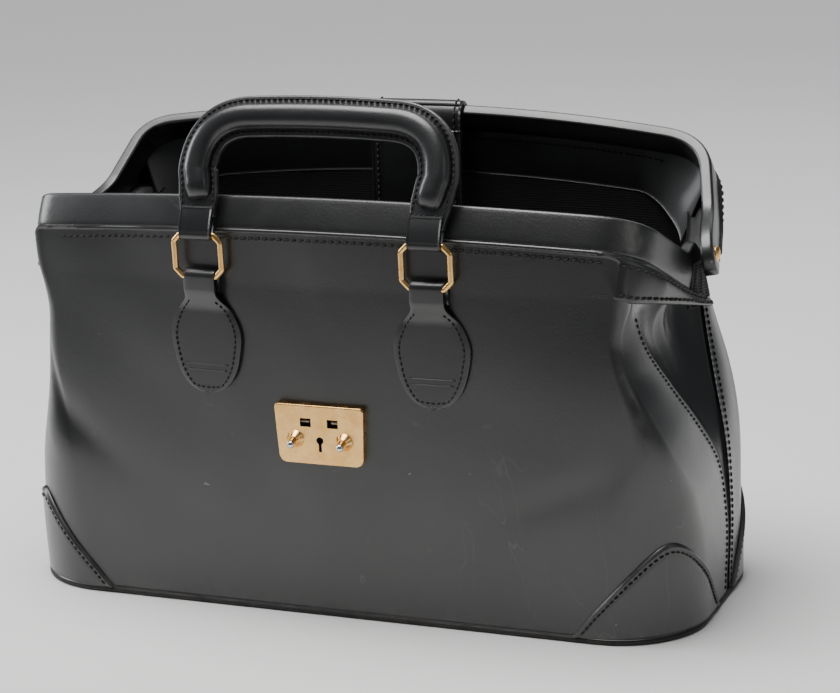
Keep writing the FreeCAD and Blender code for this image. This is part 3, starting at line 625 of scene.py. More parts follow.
def make_rivets(side):
    """Brass heads on the outer arms, and the washers inside the inner ones."""
    name = SIDES[side]
    x, rise = (ARM_X[1] - 0.2, 2.1) if side > 0 else (ARM_X[-1] - BAR_T + 0.2, 2.4)
    # distance from the axis, and height of the head over the arm
    dome = np.array([(0.01, rise), (1.6, rise - 0.05), (3.1, rise - 0.45), (4.2, rise - 1.0), (4.7, 0.5),
                     (4.7, -0.8), (0.01, -0.8)])
    heads = []
    for hand in HANDS:
        out = side * hand
        t = np.linspace(0, 2 * math.pi, 32, endpoint=False) * out
        around = np.stack([0 * t, np.cos(t), np.sin(t)], 1)
        rings = dome[:, None, :1] * around[None] + dome[:, None, 1:] * (out * X_AXIS)
        heads.append(sweep_rings(np.array([hand * x, 0.0, HINGE_Z]) + rings))
    piece = make(name + "_rivet_heads", *joined(heads), BRASS, name + "_mouth", "brass")
    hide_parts(name + "_rivets")


# ---- the leather body: front and rear panels with their wings ------------------------------------
PLANE_X = BASE_X - BASE_R          # half width of the flat part of the front at the base
CORNER_LONG = BASE_R * math.pi / 2
SHELL_Z = 2.7
PANEL_T = 2.3


def welt_line(side, x):
    """Where the panel meets the bar above a given x on the straight run: (y, z)."""
    v = MOUTH_R - ARCH * (np.asarray(x, float) / CORNER_X) ** 2
    p = tilt(side, np.stack([x * np.ones_like(v), np.full_like(v, side * (HALF_GAP + BAND)), v], -1))
    return p[..., 1], p[..., 2]


# keys over height: crease corner X, corner radius, seam X, seam distance from the middle of the side
SHAPE = {
    -1: {"corner": [(0, BASE_X), (55, BASE_X), (82, 197.0), (108, 189.5), (130, 179.5), (150, 170.0),
                    (168, 166.0), (182, 170.0), (194, 178.0), (206, 182.0), (224, 183.0)],
         "radius": [(0, 48), (50, 47), (80, 36), (105, 19), (130, 9), (160, 5.0), (180, 7.0), (192, 14.0),
                    (204, 24.0), (224, 28.0)],
         "seam_x": [(0, 200.6), (55, 201.0), (85, 197.5), (108, 190.5), (135, 181.5), (162, 174.5),
                    (180, 171.0), (224, 170.0)],
         "seam_y": [(0, -9), (50, -9), (85, -3), (108, 13), (135, 37), (162, 61), (180, 68), (224, 76)]},
    1: {"corner": [(0, BASE_X), (55, BASE_X), (90, 197.0), (120, 188.5), (150, 177.5), (180, 168.5),
                   (205, 166.5), (222, 171.0), (236, 177.0), (258, 176.0)],
        "radius": [(0, 48), (50, 47), (85, 36), (115, 20), (150, 10), (190, 6), (220, 7), (258, 11)],
        "seam_x": [(0, 200.6), (55, 201.0), (90, 197.0), (120, 188.5), (150, 179.5), (180, 172.5),
                   (206, 169.5), (258, 168.0)],
        "seam_y": [(0, 14), (50, 15), (90, 20), (120, 30), (150, 43), (180, 55), (206, 60), (258, 64)]}}
# the front left corner's crease differs
LEFT_SHAPE = {"corner": [(0, BASE_X), (45, BASE_X), (75, 193.0), (100, 183.0), (125, 176.5), (150, 173.5),
                         (168, 173.0), (182, 177.0), (194, 182.0), (206, 184.5), (224, 185.0)],
              "radius": [(0, 48), (45, 47), (75, 36), (100, 22), (130, 12), (160, 8), (185, 8), (200, 11),
                         (224, 13)]}
SIDE_LONG = {-1: BASE_Y - BASE_R + 9.0, 1: BASE_Y - BASE_R - 14.0}
TOTAL_LONG = {s: PLANE_X + CORNER_LONG + SIDE_LONG[s] for s in SIDES}
SEAM_TOP = {-1: 186.0, 1: 214.0}


def face_y(side, x, z):
    """Outer face of a panel between the base and the welt."""
    top_y, _ = welt_line(side, np.clip(np.abs(x), 0, CORNER_X))
    mid_y, mid_z = welt_line(side, np.zeros(1))
    t = np.clip(z / mid_z[0], 0, 1)
    foot = side * BASE_Y
    middle = foot + (mid_y[0] - foot) * t
    bow = (top_y - mid_y[0]) * t ** 1.5
    belly = side * 2.6 * np.sin(math.pi * np.clip(z / 190, 0, 1)) * (1 - (np.abs(x) / 230) ** 2)
    return middle + bow + belly


def wing_point(side, s, z, hand=1):
    """Point of the leather's right half: s runs from mid-panel along the base line to the side seam."""
    keys = dict(SHAPE[side], **(LEFT_SHAPE if hand < 0 and side < 0 else {}))
    corner = keyed(z, keys["corner"])
    radius = keyed(z, keys["radius"])
    end = np.stack([keyed(z, keys["seam_x"]), side * keyed(z, keys["seam_y"])], -1)
    start_x = corner - radius
    straight = np.stack([start_x * np.clip(s / PLANE_X, 0, 1), 0 * z], -1)
    straight[..., 1] = face_y(side, straight[..., 0], z)
    tip = np.stack([corner, face_y(side, corner, z)], -1)
    a = np.stack([start_x, face_y(side, start_x, z)], -1)
    b = tip + unit(end - tip) * radius[..., None]
    t = np.clip((s - PLANE_X) / CORNER_LONG, 0, 1)[..., None]
    k = 0.5523                     # a cubic's handle length for a quarter circle
    bend = ((1 - t) ** 3 * a + 3 * (1 - t) ** 2 * t * (a + (tip - a) * k)
            + 3 * (1 - t) * t * t * (b + (tip - b) * k) + t ** 3 * b)
    q = np.clip((s - PLANE_X - CORNER_LONG) / SIDE_LONG[side], 0, 1)[..., None]
    run = b + (end - b) * q
    out = unit(np.stack([(end - b)[..., 1], -(end - b)[..., 0]], -1)) * (-side)
    swell = 1.3 * smooth((z - 70) / 50) * (1 - 0.5 * smooth((z - 150) / 40))
    run = run + out * (np.sin(math.pi * q[..., 0]) * swell)[..., None] * np.sign(out[..., :1] + 1e-9)
    flat = np.where((s <= PLANE_X)[..., None], straight, np.where((t < 1), bend, run))
    return np.stack([flat[..., 0], flat[..., 1], z], -1)


def top_height(side, s):
    """Height of the leather's upper edge along s: the welt in front, falling behind the corner."""
    x = np.clip(s, 0, PLANE_X) / PLANE_X * (CORNER_X - 8)
    _, z = welt_line(side, x)
    fall = smooth((s - PLANE_X - 2) / (CORNER_LONG + SIDE_LONG[side] - 10))
    return z * (1 - fall) + SEAM_TOP[side] * fall


# soft dents in the leather: place along and up the panel, half length, half width, lean and depth
DENTS = {(-1, -1): [(158, 112, 34, 9, 0.75, 2.2), (172, 92, 22, 12, 0.6, -1.4),
                    (60, 120, 50, 30, 0.1, 0.8)],
         (-1, 1): [(120, 78, 26, 10, 0.5, 0.9), (90, 120, 40, 24, -0.3, 0.7), (150, 100, 20, 34, 0.0, 1.0)],
         (1, -1): [(100, 130, 60, 26, 0.2, 1.4), (150, 80, 30, 18, 0.6, 1.0)],
         (1, 1): [(90, 110, 50, 30, -0.2, 1.5), (150, 140, 26, 16, 0.9, 1.2)]}


def make_body(side):
    """One sheet of leather: the panel and, round its corners, the two wings of the sides."""
    name = SIDES[side]
    total = TOTAL_LONG[side]
    s_right = np.concatenate([np.linspace(0, PLANE_X, 46)[:-1],
                              np.linspace(PLANE_X, PLANE_X + CORNER_LONG, 40)[:-1],
                              np.linspace(PLANE_X + CORNER_LONG, total, 18)])
    v = np.linspace(0, 1, 92)
    s, rise = np.meshgrid(s_right, v, indexing="ij")
    z = SHELL_Z + (top_height(side, s) - 0.4 - SHELL_Z) * rise
    halves = []
    for hand in HANDS:
        points = wing_point(side, s, z, hand)
        out = grid_normals(points)
        away = 0.55 * ripple(points[..., 0] + 400 * hand, z, 5 + side + hand, 60)
        for cx, cz, long, wide, lean, depth in DENTS[side, hand]:
            dx, dz = s - cx, z - cz
            a = dx * math.cos(lean) + dz * math.sin(lean)
            b = dz * math.cos(lean) - dx * math.sin(lean)
            away = away - depth * np.exp(-(a / long) ** 2 - (b / wide) ** 2)
        points = points + out * (away * smooth(z / 40) * smooth((total - s) / 15))[..., None]
        halves.append(points * np.array([hand, 1, 1]))
    grid = np.concatenate([halves[0][::-1], halves[1][1:]])
    s_all = np.concatenate([-s_right[::-1], s_right[1:]])
    z_all = grid[..., 2]
    ridge = np.exp(-((np.abs(s_all)[:, None] - PLANE_X - CORNER_LONG * 0.45) / 14) ** 2)
    ridge = ridge * smooth((z_all - 95) / 30) * (1 - smooth((z_all - 198) / 12)) * 0.5
    low = np.exp(-(z_all / 9.0) ** 2) * 0.35
    wear = np.clip(ridge + low, 0, 1)
    body = shell(name + "_leather", grid, PANEL_T, [LEATHER, LINING], flip=side > 0, wear=wear,
                 slot="leather")
    blended(body)
    nodes = [name + "_panel", name + "_panel_lower"]
    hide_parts(*nodes, *(["side_wall_left", "side_wall_right"] if side < 0 else []))


def body_line(side, s, z, hand=1, out=0.0):
    """A line on the leather and its outward normals."""
    s, z = np.broadcast_arrays(np.asarray(s, float), np.asarray(z, float))
    p = wing_point(side, s, z, hand)
    ds = wing_point(side, s + 0.6, z, hand) - wing_point(side, s - 0.6, z, hand)
    dz = wing_point(side, s, z + 0.6, hand) - wing_point(side, s, z - 0.6, hand)
    normal = unit(np.cross(ds, dz)) * (-side)
    flip = np.array([hand, 1, 1])
    return (p + normal * out) * flip, normal * flip


def blended(piece):
    """Bakes a piece's placement into its mesh."""
    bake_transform(piece)


def make_body_stitches(side):
    """The row of stitches under the bar, and a row along each side seam."""
    name = SIDES[side]
    reach = PLANE_X + 5
    x = np.linspace(-reach, reach, 160)
    _, z = welt_line(side, np.abs(x) / PLANE_X * (CORNER_X - 8))
    path, normals = body_line(side, np.abs(x), z - 5.2)
    path[:, 0] *= np.sign(x)
    normals[:, 0] *= np.sign(x)
    blended(stitches(name + "_welt_stitches", [(path, normals)], slot="leather", **WELT_STITCH))
    total = TOTAL_LONG[side]
    z = np.linspace(5, top_height(side, np.array([total]))[0] - 8, 120)
    lines = [body_line(side, np.full(120, total - 4.0), z, hand) for hand in HANDS]
    blended(stitches(name + "_leather_stitches", lines, slot="leather"))


# ---- base and corner patches ---------------------------------------------------------------------
def base_outline(grow, count=360):
    """Rounded rectangle round the base, grown outwards."""
    points = []
    for cx, cy, start in ((1, 1, 0), (-1, 1, 90), (-1, -1, 180), (1, -1, 270)):
        t = np.radians(np.linspace(start, start + 90, 24))
        centre = np.array([cx * (BASE_X - BASE_R), cy * (BASE_Y - BASE_R)])
        points.append(centre + (BASE_R + grow) * np.stack([np.cos(t), np.sin(t)], 1))
    loop = np.concatenate(points)
    loop = np.concatenate([loop, loop[:1]])
    return resample(loop, count + 1)[:-1]


def base_grid(inset, rows=60, columns=110):
    """Points over the base's rounded rectangle, shrunk by inset: (x, y) arrays."""
    long, deep, radius = BASE_X - inset, BASE_Y - inset, BASE_R - inset
    y = deep * np.sin(np.linspace(-1, 1, rows) * math.pi / 2)
    y, u = np.meshgrid(y, np.linspace(-1, 1, columns), indexing="ij")
    into = np.maximum(np.abs(y) - (deep - radius), 0)
    return u * (long - radius + np.sqrt(np.maximum(radius ** 2 - into ** 2, 0))), y


def make_bottom():
    """The base's leather with its row of stitches underneath, and the cloth that lines it."""
    x, y = base_grid(0.6)
    z = 1.0 + 0.2 * ripple(x, y, 41, 50)
    sole = shell("base_sole_leather", np.stack([x, y, z], -1), 1.6, [LEATHER, LEATHER], body="base",
                 slot="leather")
    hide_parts("base_leather")
    loop = base_outline(-6.5)
    path = np.column_stack([np.concatenate([loop, loop[:1]]), np.full(len(loop) + 1, 0.95)])
    normals = np.tile([0.0, 0.0, -1.0], (len(path), 1))
    stitches("base_sole_stitches", [(path, normals)], body="base", slot="leather", lift=0.1, pitch=4.3,
             long=3.6)
    x, y = base_grid(4.6)
    z = 7.0 + 0.5 * ripple(x, y, 43, 34)
    cloth = shell("base_lining_cloth", np.stack([x, y, z], -1), 0.7, [LINING, LINING], flip=True,
                  body="base", slot="lining")
    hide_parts("base_lining")


def make_base_welt():
    """The cord in the seam all round the foot."""
    loop = base_outline(0.2)
    path = np.column_stack([loop, np.full(len(loop), 1.75)])
    welt = tube("base_welt_cord", path, 1.7, EDGE, closed=True, count=12, body="base", slot="edge_leather")
    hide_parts("base_welt")


PATCH_HIGH = 53.0
PATCH_T = 1.5


def patch_edge(q):
    """Height of a patch's upper edge: straight flanks and a rounded peak; q runs -1 to 1."""
    soft = 0.3
    fall = (np.sqrt(q * q + soft * soft) - soft) / (math.sqrt(1 + soft * soft) - soft)
    return PATCH_HIGH * (1 - fall)


def make_patch(side, hand):
    """The leather guard of one lower corner, peaked in its middle, with its row of stitches."""
    label = SIDES[side] + "_" + HANDS[hand]
    first = PLANE_X - 13.0
    last = PLANE_X + CORNER_LONG + (24.0 if side < 0 else 19.0)
    peak = PLANE_X + CORNER_LONG * (0.56 if side < 0 else 0.5)

    def stretch_of(s):
        return np.where(s < peak, (s - peak) / (peak - first), (s - peak) / (last - peak))

    s = np.linspace(first, last, 70)
    v = 1 - (1 - np.linspace(0, 1, 46)) ** 2
    S, V = np.meshgrid(s, v, indexing="ij")
    edge = patch_edge(stretch_of(S))
    z = SHELL_Z + 0.6 + (edge - 0.3) * V
    to_edge = np.minimum((edge * (1 - V)) * 0.62, np.minimum(S - first, last - S) + 0.2)
    rise = PATCH_T * np.sqrt(np.clip(1 - (1 - np.clip(to_edge / 1.3, 0, 1)) ** 2, 0, 1)) + 0.05
    rise = rise + 0.75 * np.exp(-((to_edge - 1.4) / 0.8) ** 2)
    rise = rise - 0.35 * np.exp(-((to_edge - 3.7) / 0.7) ** 2)
    points, normals = body_line(side, S, z, hand)
    points = points + normals * rise[..., None]
    wear = np.exp(-(to_edge / 1.6) ** 2) * 0.45 + np.exp(-(z / 7.0) ** 2) * 0.5
    outward = side * hand > 0
    patch = shell("corner_patch_" + label + "_leather", points, 0.9, [LEATHER, LEATHER], flip=outward,
                  wear=wear, body="base", slot="leather")
    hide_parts("corner_patch_" + label)
    inset = 3.6
    s_line = np.linspace(first + 5.5, last - 5.5, 120)
    z_line = SHELL_Z + patch_edge(stretch_of(s_line)) - inset * 1.35
    keep = z_line > 4.5
    line, normal = body_line(side, s_line[keep], z_line[keep], hand, PATCH_T)
    stitches("corner_patch_" + label + "_stitches", [(line, normal)], body="base", slot="leather")


# ---- gussets: the folding sides between the wings ------------------------------------------------
GUSSET_CAP = 214.0


def gusset_top(y):
    """Height of a gusset's upper edge: just under the two arms, lowest below the rivet."""
    arms = {}
    for side in SIDES:
        low, high = (tilt(side, np.array([0, side * (HALF_GAP + BAND), v])) for v in (0.0, 60.0))
        arms[side] = low[2] + (y - low[1]) * (high[2] - low[2]) / (high[1] - low[1])
    soft = 5.0
    under_arms = soft * np.log(np.exp(arms[-1] / soft) + np.exp(arms[1] / soft)) - 3.0
    behind = smooth((y - 2) / 12.0) * (1 - smooth((y - 30) / 18.0))
    return np.minimum(under_arms + 11.0 * np.exp(-((y - 2) / 15.0) ** 2) + 9.0 * behind, GUSSET_CAP)


def make_gusset(hand):
    """From the front wing's seam to the rear wing's, pushed in along its middle."""
    V, U = steps(84, 61)
    y = -74.0 + 138.0 * U
    top = gusset_top(y)
    for _ in range(3):
        z = SHELL_Z + (top - SHELL_Z) * V
        fy, ry = -keyed(z, SHAPE[-1]["seam_y"]), keyed(z, SHAPE[1]["seam_y"])
        y = fy + (ry - fy) * U
        top = gusset_top(y[-1])[None, :]
    fx, rx = keyed(z, SHAPE[-1]["seam_x"]), keyed(z, SHAPE[1]["seam_x"])
    near_top = np.exp(-(top - z) / 20.0)
    wide = ry - fy
    fold = np.clip(wide * 0.20, 0, 25) * smooth((z - 60) / 70)
    valley = 1 - np.abs(2 * U - 1) ** 1.3
    pleats = 3.2 * np.sin(4 * math.pi * U + 0.6) * smooth((z - 120) / 50) * 4 * U * (1 - U)
    x = fx + (rx - fx) * U - 1.8 - valley * fold + pleats
    near_top *= 1 - np.abs(2 * U - 1) ** 4
    at_arm = ARM_X[-1] - 4.0 + (ARM_X[1] - ARM_X[-1]) * smooth((y + 1) / 16)
    x = x * (1 - near_top) + at_arm * near_top
    points = np.stack([hand * x, y, z], -1)
    piece = shell("gusset_" + HANDS[hand], points, 1.6, [LEATHER, SHADED_INNER_LEATHER], flip=hand > 0,
                  body="base", slot="leather")
    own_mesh(piece)
    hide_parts("side_fold_" + HANDS[hand])


# ---- rolls: leather gathered round the bar's corners and arms ------------------------------------
ROLL_START_X = 150.0
ROLL = {-1: {"foot": -5.0, "full": 22.0, "end": 4.0, "flare": 10.5, "bulge": 5.5, "curl": 15.0},
        1: {"foot": 10.0, "full": 22.0, "end": 6.0, "flare": -6.5, "bulge": 1.6, "curl": 16.0}}


def skin_y(side, hand, x, z):
    """Where the leather's outer face stands at x, up to the turn of its corner."""
    s = np.linspace(PLANE_X * 0.6, PLANE_X + CORNER_LONG * 0.5, 60)
    p = wing_point(side, *np.meshgrid(s, z), hand)
    reach = np.maximum.accumulate(p[..., 0], axis=1) + np.arange(60) * 1e-4
    return np.array([np.interp(a, b, c) for a, b, c in zip(x, reach, p[..., 1])])


def make_roll(side, hand):
    """Leather gathered from the bar's corner down the arm; it starts hidden behind the panel's corner."""
    size = ROLL[side]
    label = SIDES[side] + "_" + HANDS[hand]
    outline = half_hoop(side, size["foot"], hand)[::-1]
    outline = resample(outline[outline[:, 0] > ROLL_START_X], 96)
    x, v = outline.T
    upper = tilt(side, np.stack([x, side * (band_edges(side, v)[1] + 0.3), v - 0.4], 1))
    along = np.r_[0, np.cumsum(np.linalg.norm(np.diff(outline, axis=0), axis=1))]
    corner = np.interp(-(MOUTH_R - ARCH - 8), -v, along)
    past = np.clip((along - corner) / (along[-1] - corner), 0, 1)
    turn = smooth((along - corner + 14) / 26)
    start = 17.0                   # how far before the corner the roll comes out
    hidden = 1 - smooth((along - corner + start) / (start - 4))
    top_z = np.interp(corner, along, upper[:, 2])
    end_z = upper[-1, 2] - size["end"] + size["full"]
    low_z = np.where(past > 0, top_z + (end_z - top_z) * past, upper[:, 2]) - size["full"]
    on_face = skin_y(side, hand, x, low_z)
    on_arm = upper[:, 1] + side * (1.0 + 7.0 * past * (side < 0))
    low_x = x - 3.0 * (1 - past) * turn + size["flare"] * past
    lower = np.stack([low_x, on_face * (1 - turn) + on_arm * turn, low_z], 1)
    w = np.linspace(0, 1, 20)
    heading = math.pi / 2 * turn
    away = np.stack([np.sin(heading), side * np.cos(heading), -0.15 * turn], 1)
    bulge = size["bulge"] * smooth((along - corner + 3) / 22) * (1 - 0.72 * past) * (1 if hand > 0 else 0.5)
    bulge = bulge + 0.25 * (1 - hidden) * ripple(along * 2.2 + 50 * hand, 0 * along, 21 + side, 30)
    puff = np.sin(math.pi * w ** 0.9) ** 0.8
    tucked = 2.6 * (1 - smooth(past / 0.3)) if side < 0 and hand < 0 else 0
    off = -1.7 * hidden + 1.9 * (1 - hidden) - tucked
    stand = np.maximum(bulge, 0)[:, None] * puff[None] + off[:, None] * smooth(w / 0.12)[None]
    points = (upper[:, None] + (lower - upper)[:, None] * w[None, :, None]
              + away[:, None] * stand[..., None])
    inward = np.linspace(0.04, 1, 9)[None, :, None]
    under = points[:, -1:] - away[:, None] * inward * size["curl"] * (1 - hidden)[:, None, None]
    under[..., 2] -= 1.6 * np.sin(math.pi * inward[..., 0] ** 0.6)
    points = np.concatenate([points, under], 1)
    puff = np.r_[puff, np.zeros(9)]
    points = points * np.array([hand, 1, 1])
    wear = 0.05 + 0.4 * np.exp(-((past - 0.45) / 0.2) ** 2)[:, None] * puff[None] * (side < 0)
    flip = side * hand < 0
    roll = shell("corner_roll_" + label, points, 1.6, [LEATHER, SHADED_INNER_LEATHER], flip=flip, wear=wear,
                 slot="leather")
    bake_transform(roll)
    height = np.maximum(np.linalg.norm(lower - upper, axis=1), 1)
    column = np.arange(len(along))
    lines = []
    for share, shown in ((np.clip(4.9 / height, 0, 0.5), height > 9),
                         (np.clip(1 - 2.4 / height, 0.5, 1), height > 6)):
        k = share * (len(w) - 1)
        low_k = np.floor(k).astype(int)
        part = (k - low_k)[:, None]
        path = points[column, low_k] * (1 - part) + points[column, low_k + 1] * part
        out = grid_normals(points)[column, low_k]
        out = out * np.sign((out * (away * np.array([hand, 1, 1]))).sum(1))[:, None]
        shown = shown & (along > corner - start / 2)
        lines.append((path[shown], out[shown]))
    thread = stitches("corner_roll_" + label + "_stitches", lines, slot="leather", **WELT_STITCH)
    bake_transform(thread)


# ---- hems and linings inside ---------------------------------------------------------------------
HEM_LONG = 27.0
HEM_POINTS = 181
HEM_FROM = {-1: 50, 1: 60}         # lowest height over the rivets
HEM_LONGER = {-1: -0.35, 1: 0.3}   # change of length at the arms
HEM_INWARD = {-1: 0.0, 1: 0.08}    # share that the lower edge comes in by at the arms


def make_inside(side):
    """The hem under a bar, with its stitches, and the panel's cloth lining."""
    name = SIDES[side]
    outline = hoop_line(side, 16.0, 361)[0]
    outline = resample(outline[outline[:, 1] > HEM_FROM[side]], HEM_POINTS)
    inner = outline + sideways(outline) * (BAR_T - 0.8)
    flat = np.stack([inner[:, 0], side * (band_edges(side, inner[:, 1])[1] - 3), inner[:, 1]], 1)
    bar = tilt(side, flat)
    x = bar[:, 0]
    arm = smooth((np.abs(x) - 130) / 44)
    lower = bar.copy()
    lower[:, 2] -= HEM_LONG * (1 + HEM_LONGER[side] * arm)
    lower[:, 0] *= 1 - HEM_INWARD[side] * arm
    against = face_y(side, x, lower[:, 2]) - side * 4.6
    lower[:, 1] = against * (1 - arm) + (bar[:, 1] - side * 3.0) * arm
    w = np.linspace(0, 1, 16)
    hem = bar[:, None] + (lower - bar)[:, None] * w[None, :, None]
    sag = 1.4 * np.sin(math.pi * w)[None] + 0.25 * ripple(x, 0 * x, 3, 20)[:, None]
    hem[..., 1] -= side * sag
    piece = shell(name + "_hem_leather", hem, 1.2, [SHADED_INNER_LEATHER, SHADED_INNER_LEATHER], flip=side > 0,
                  slot="leather")
    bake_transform(piece)
    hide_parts(name + "_bar_hem")
    normals = np.tile(np.array([0, -side, 0.15]), (HEM_POINTS, 1))
    run = np.abs(x) < 150
    line = ((hem[:, 3] + normals * 0.15)[run], normals[run])
    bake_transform(stitches(name + "_hem_stitches", [line], slot="leather"))
    X, W = np.meshgrid(np.linspace(-160, 160, 90), np.linspace(0, 1, 70), indexing="ij")
    order = np.argsort(x)
    top = np.interp(X, x[order], lower[order, 2]) + 5
    Z = 7.5 + (top - 7.5) * W
    Y = face_y(side, X, Z) - side * (PANEL_T + 1.1) - side * 0.8 * (1 + ripple(X, Z, 9 + side, 30))
    piece = shell(name + "_lining_cloth", np.stack([X, Y, Z], -1), 0.7, [LINING, LINING], flip=side < 0,
                  slot="lining")
    blended(piece)
    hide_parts(name + "_lining")


# ---- hinge webbing -------------------------------------------------------------------------------
def make_webbing(hand):
    """Woven tape folded below each rivet, between the two arms."""
    V, U = steps(26, 18, -1.0)
    z = 194.0 - 22.0 * V
    y = 3.0 + U * (9.0 + 11.0 * V)
    x = ARM_X[-1] + 1.6 + 1.0 * V - 1.6 * U * U + 0.9 * np.cos(U * 9.0) * (0.3 + V)
    points = np.stack([hand * x, y, z], -1)
    piece = shell("webbing_" + HANDS[hand], points, 1.1, [WEBBING, WEBBING], flip=hand < 0, body="base",
                  slot="webbing")
    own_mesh(piece)
    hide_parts("hinge_webbing_" + HANDS[hand])


# ---- handles -------------------------------------------------------------------------------------
HANDLE_HIGH = 77.0
HANDLE_WIDE = 23.0
HANDLE_HALF = 70.0
HANDLE_R = 31.0
STRAP_T = 4.0
CORE_WIDE = 13.6
CORE_HIGH = 6.4
LEG_START = 9.0
FRONT_HANDLE_LEAN = 22.0


def handle_axes(side):
    """Origin and axes of a handle: along it, and out of its padded face."""
    if side > 0:
        lean = math.pi + math.atan2(BASE_Y - WELT[1][1], WELT[1][2])
        return HANDLE_PIVOT[1], np.array([0, -math.sin(lean), math.cos(lean)]), np.array([0, 1, 0])
    lean = math.radians(FRONT_HANDLE_LEAN)
    sin, cos = math.sin(lean), math.cos(lean)
    return HANDLE_PIVOT[-1], np.array([0, sin, cos]), np.array([0, -cos, sin])


def handle_line(count, low):
    """Middle line of the arch in its own plane, (x, z)."""
    top = HANDLE_HIGH - HANDLE_WIDE / 2
    leg = bezier((RING_X, low), (RING_X + 2.2, top * 0.5), (HANDLE_HALF, top - HANDLE_R), 20)
    corner = bezier((HANDLE_HALF, top - HANDLE_R), (HANDLE_HALF + 0.3, top),
                    (HANDLE_HALF - HANDLE_R, top + 0.4), 24)
    middle = bezier((HANDLE_HALF - HANDLE_R, top + 0.4), (20, top + 1.4), (0, top + 1.4), 14)
    right = np.concatenate([leg, corner[1:], middle[1:]])
    whole = np.concatenate([right, (right * [-1, 1])[::-1][1:]])
    return resample(whole, count)


def from_ends(line):
    """Distance along a line from its nearer end."""
    count = len(line)
    return np.minimum(np.arange(count), np.arange(count)[::-1]) * line_length(line) / (count - 1)


def make_handle(side):
    """Strap, padding, stitches, and the two loops that hold the rings."""
    name = SIDES[side]
    origin, up, out = handle_axes(side)
    body = name + "_handle"

    def place(flat, rise):
        return origin + flat[..., :1] * X_AXIS + flat[..., 1:] * up + rise[..., None] * out

    line = handle_line(150, LEG_START)
    profile = rounded_profile(HANDLE_WIDE, STRAP_T, 1.1, 0.5)
    narrow = 1 - 0.14 * (1 - smooth(from_ends(line) / 14))
    flat = line[:, None] + sideways(line)[:, None] * (profile[None, :, :1] * narrow[:, None, None])
    rings = place(flat, np.broadcast_to(profile[None, :, 1], flat.shape[:2]))[:, ::-side]
    edge = np.abs(profile[:, 0]) > HANDLE_WIDE / 2 - 1.0
    strap = make("handle_leather_" + name, *sweep_rings(rings), HANDLE_LEATHER, body, "handle_leather",
                 wear=np.tile(edge * 0.35, 150))
    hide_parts("handle_strap_" + name)

    core_line = handle_line(140, LEG_START + 10.0)
    swell = np.sqrt(np.clip(1 - (1 - np.clip(from_ends(core_line) / 9.0, 0, 1)) ** 2, 0.004, 1))
    t = np.linspace(0, math.pi, 17)
    dome = np.stack([np.sign(np.cos(t)) * np.abs(np.cos(t)) ** 0.85 * CORE_WIDE / 2,
                     np.sin(t) ** 0.8 * CORE_HIGH], 1)
    under = np.stack([np.linspace(-CORE_WIDE / 2, CORE_WIDE / 2, 7)[1:-1], np.full(5, -0.4)], 1)
    profile = np.concatenate([dome, under])
    flare = 1 + 0.30 * np.exp(-((profile[:, 1] - 0.3) / 0.9) ** 2)
    half_wide = (profile[:, 0] * flare)[None] * (0.55 + 0.45 * swell)[:, None]
    flat = core_line[:, None] + sideways(core_line)[:, None] * half_wide[..., None]
    rings = place(flat, STRAP_T / 2 + 0.2 + profile[None, :, 1] * swell[:, None])[:, ::-side]
    core = make("handle_padding_" + name, *sweep_rings(rings), HANDLE_LEATHER, body, "handle_leather")
    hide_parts("handle_core_" + name)

    lines = []
    rim = handle_line(150, LEG_START + 4)
    normals = np.tile(out, (150, 1))
    for edge_side in (-1, 1):
        offset = rim + sideways(rim) * edge_side * (HANDLE_WIDE / 2 - 2.3)
        path = place(offset[:, None], np.full((150, 1), STRAP_T / 2 + 0.12))[:, 0]
        lines.append((path, normals))
    stitches("handle_stitches_" + name, lines, body=body, slot="handle_leather", pitch=3.3)
    crosses = []
    for x in (-RING_X, RING_X):
        for row in (LEG_START + 3.4, LEG_START + 6.6):
            flat = np.stack([np.linspace(x - 7.5, x + 7.5, 8), np.full(8, row)], 1)
            path = place(flat[:, None], np.full((8, 1), STRAP_T / 2 + 0.2))[:, 0]
            crosses.append((path, np.tile(out, (8, 1))))
    stitches("handle_cross_stitches_" + name, crosses, body=body, slot="handle_leather", pitch=2.6,
             long=2.1)

    for x, hand in ((-RING_X, "left"), (RING_X, "right")):
        radius = 3.0
        arc = np.linspace(0, math.pi, 15)
        turn = np.stack([radius * np.cos(arc), -radius * np.sin(arc)], 1)
        swelling = 0.5 * np.sin(np.linspace(0, math.pi, 8))
        front = np.stack([radius + swelling + 0.4, np.linspace(15, 0.6, 8)], 1)
        back = np.stack([np.full(7, -radius), np.linspace(0.6, 12, 7)], 1)
        route = np.concatenate([front, turn, back])
        U = np.linspace(-9.2, 9.2, 15)
        grid = origin + (x + U)[:, None, None] * X_AXIS + route[None, :, 1:] * up + route[None, :, :1] * out
        shell("handle_loop_%s_%s" % (name, hand), grid, 1.9, [HANDLE_LEATHER, HANDLE_LEATHER],
              flip=side < 0, body=body, slot="handle_leather", rim_wear=0.3)


# ---- rings and chapes ----------------------------------------------------------------------------
WIRE_R = 1.65
RING_WIDE = 31.0


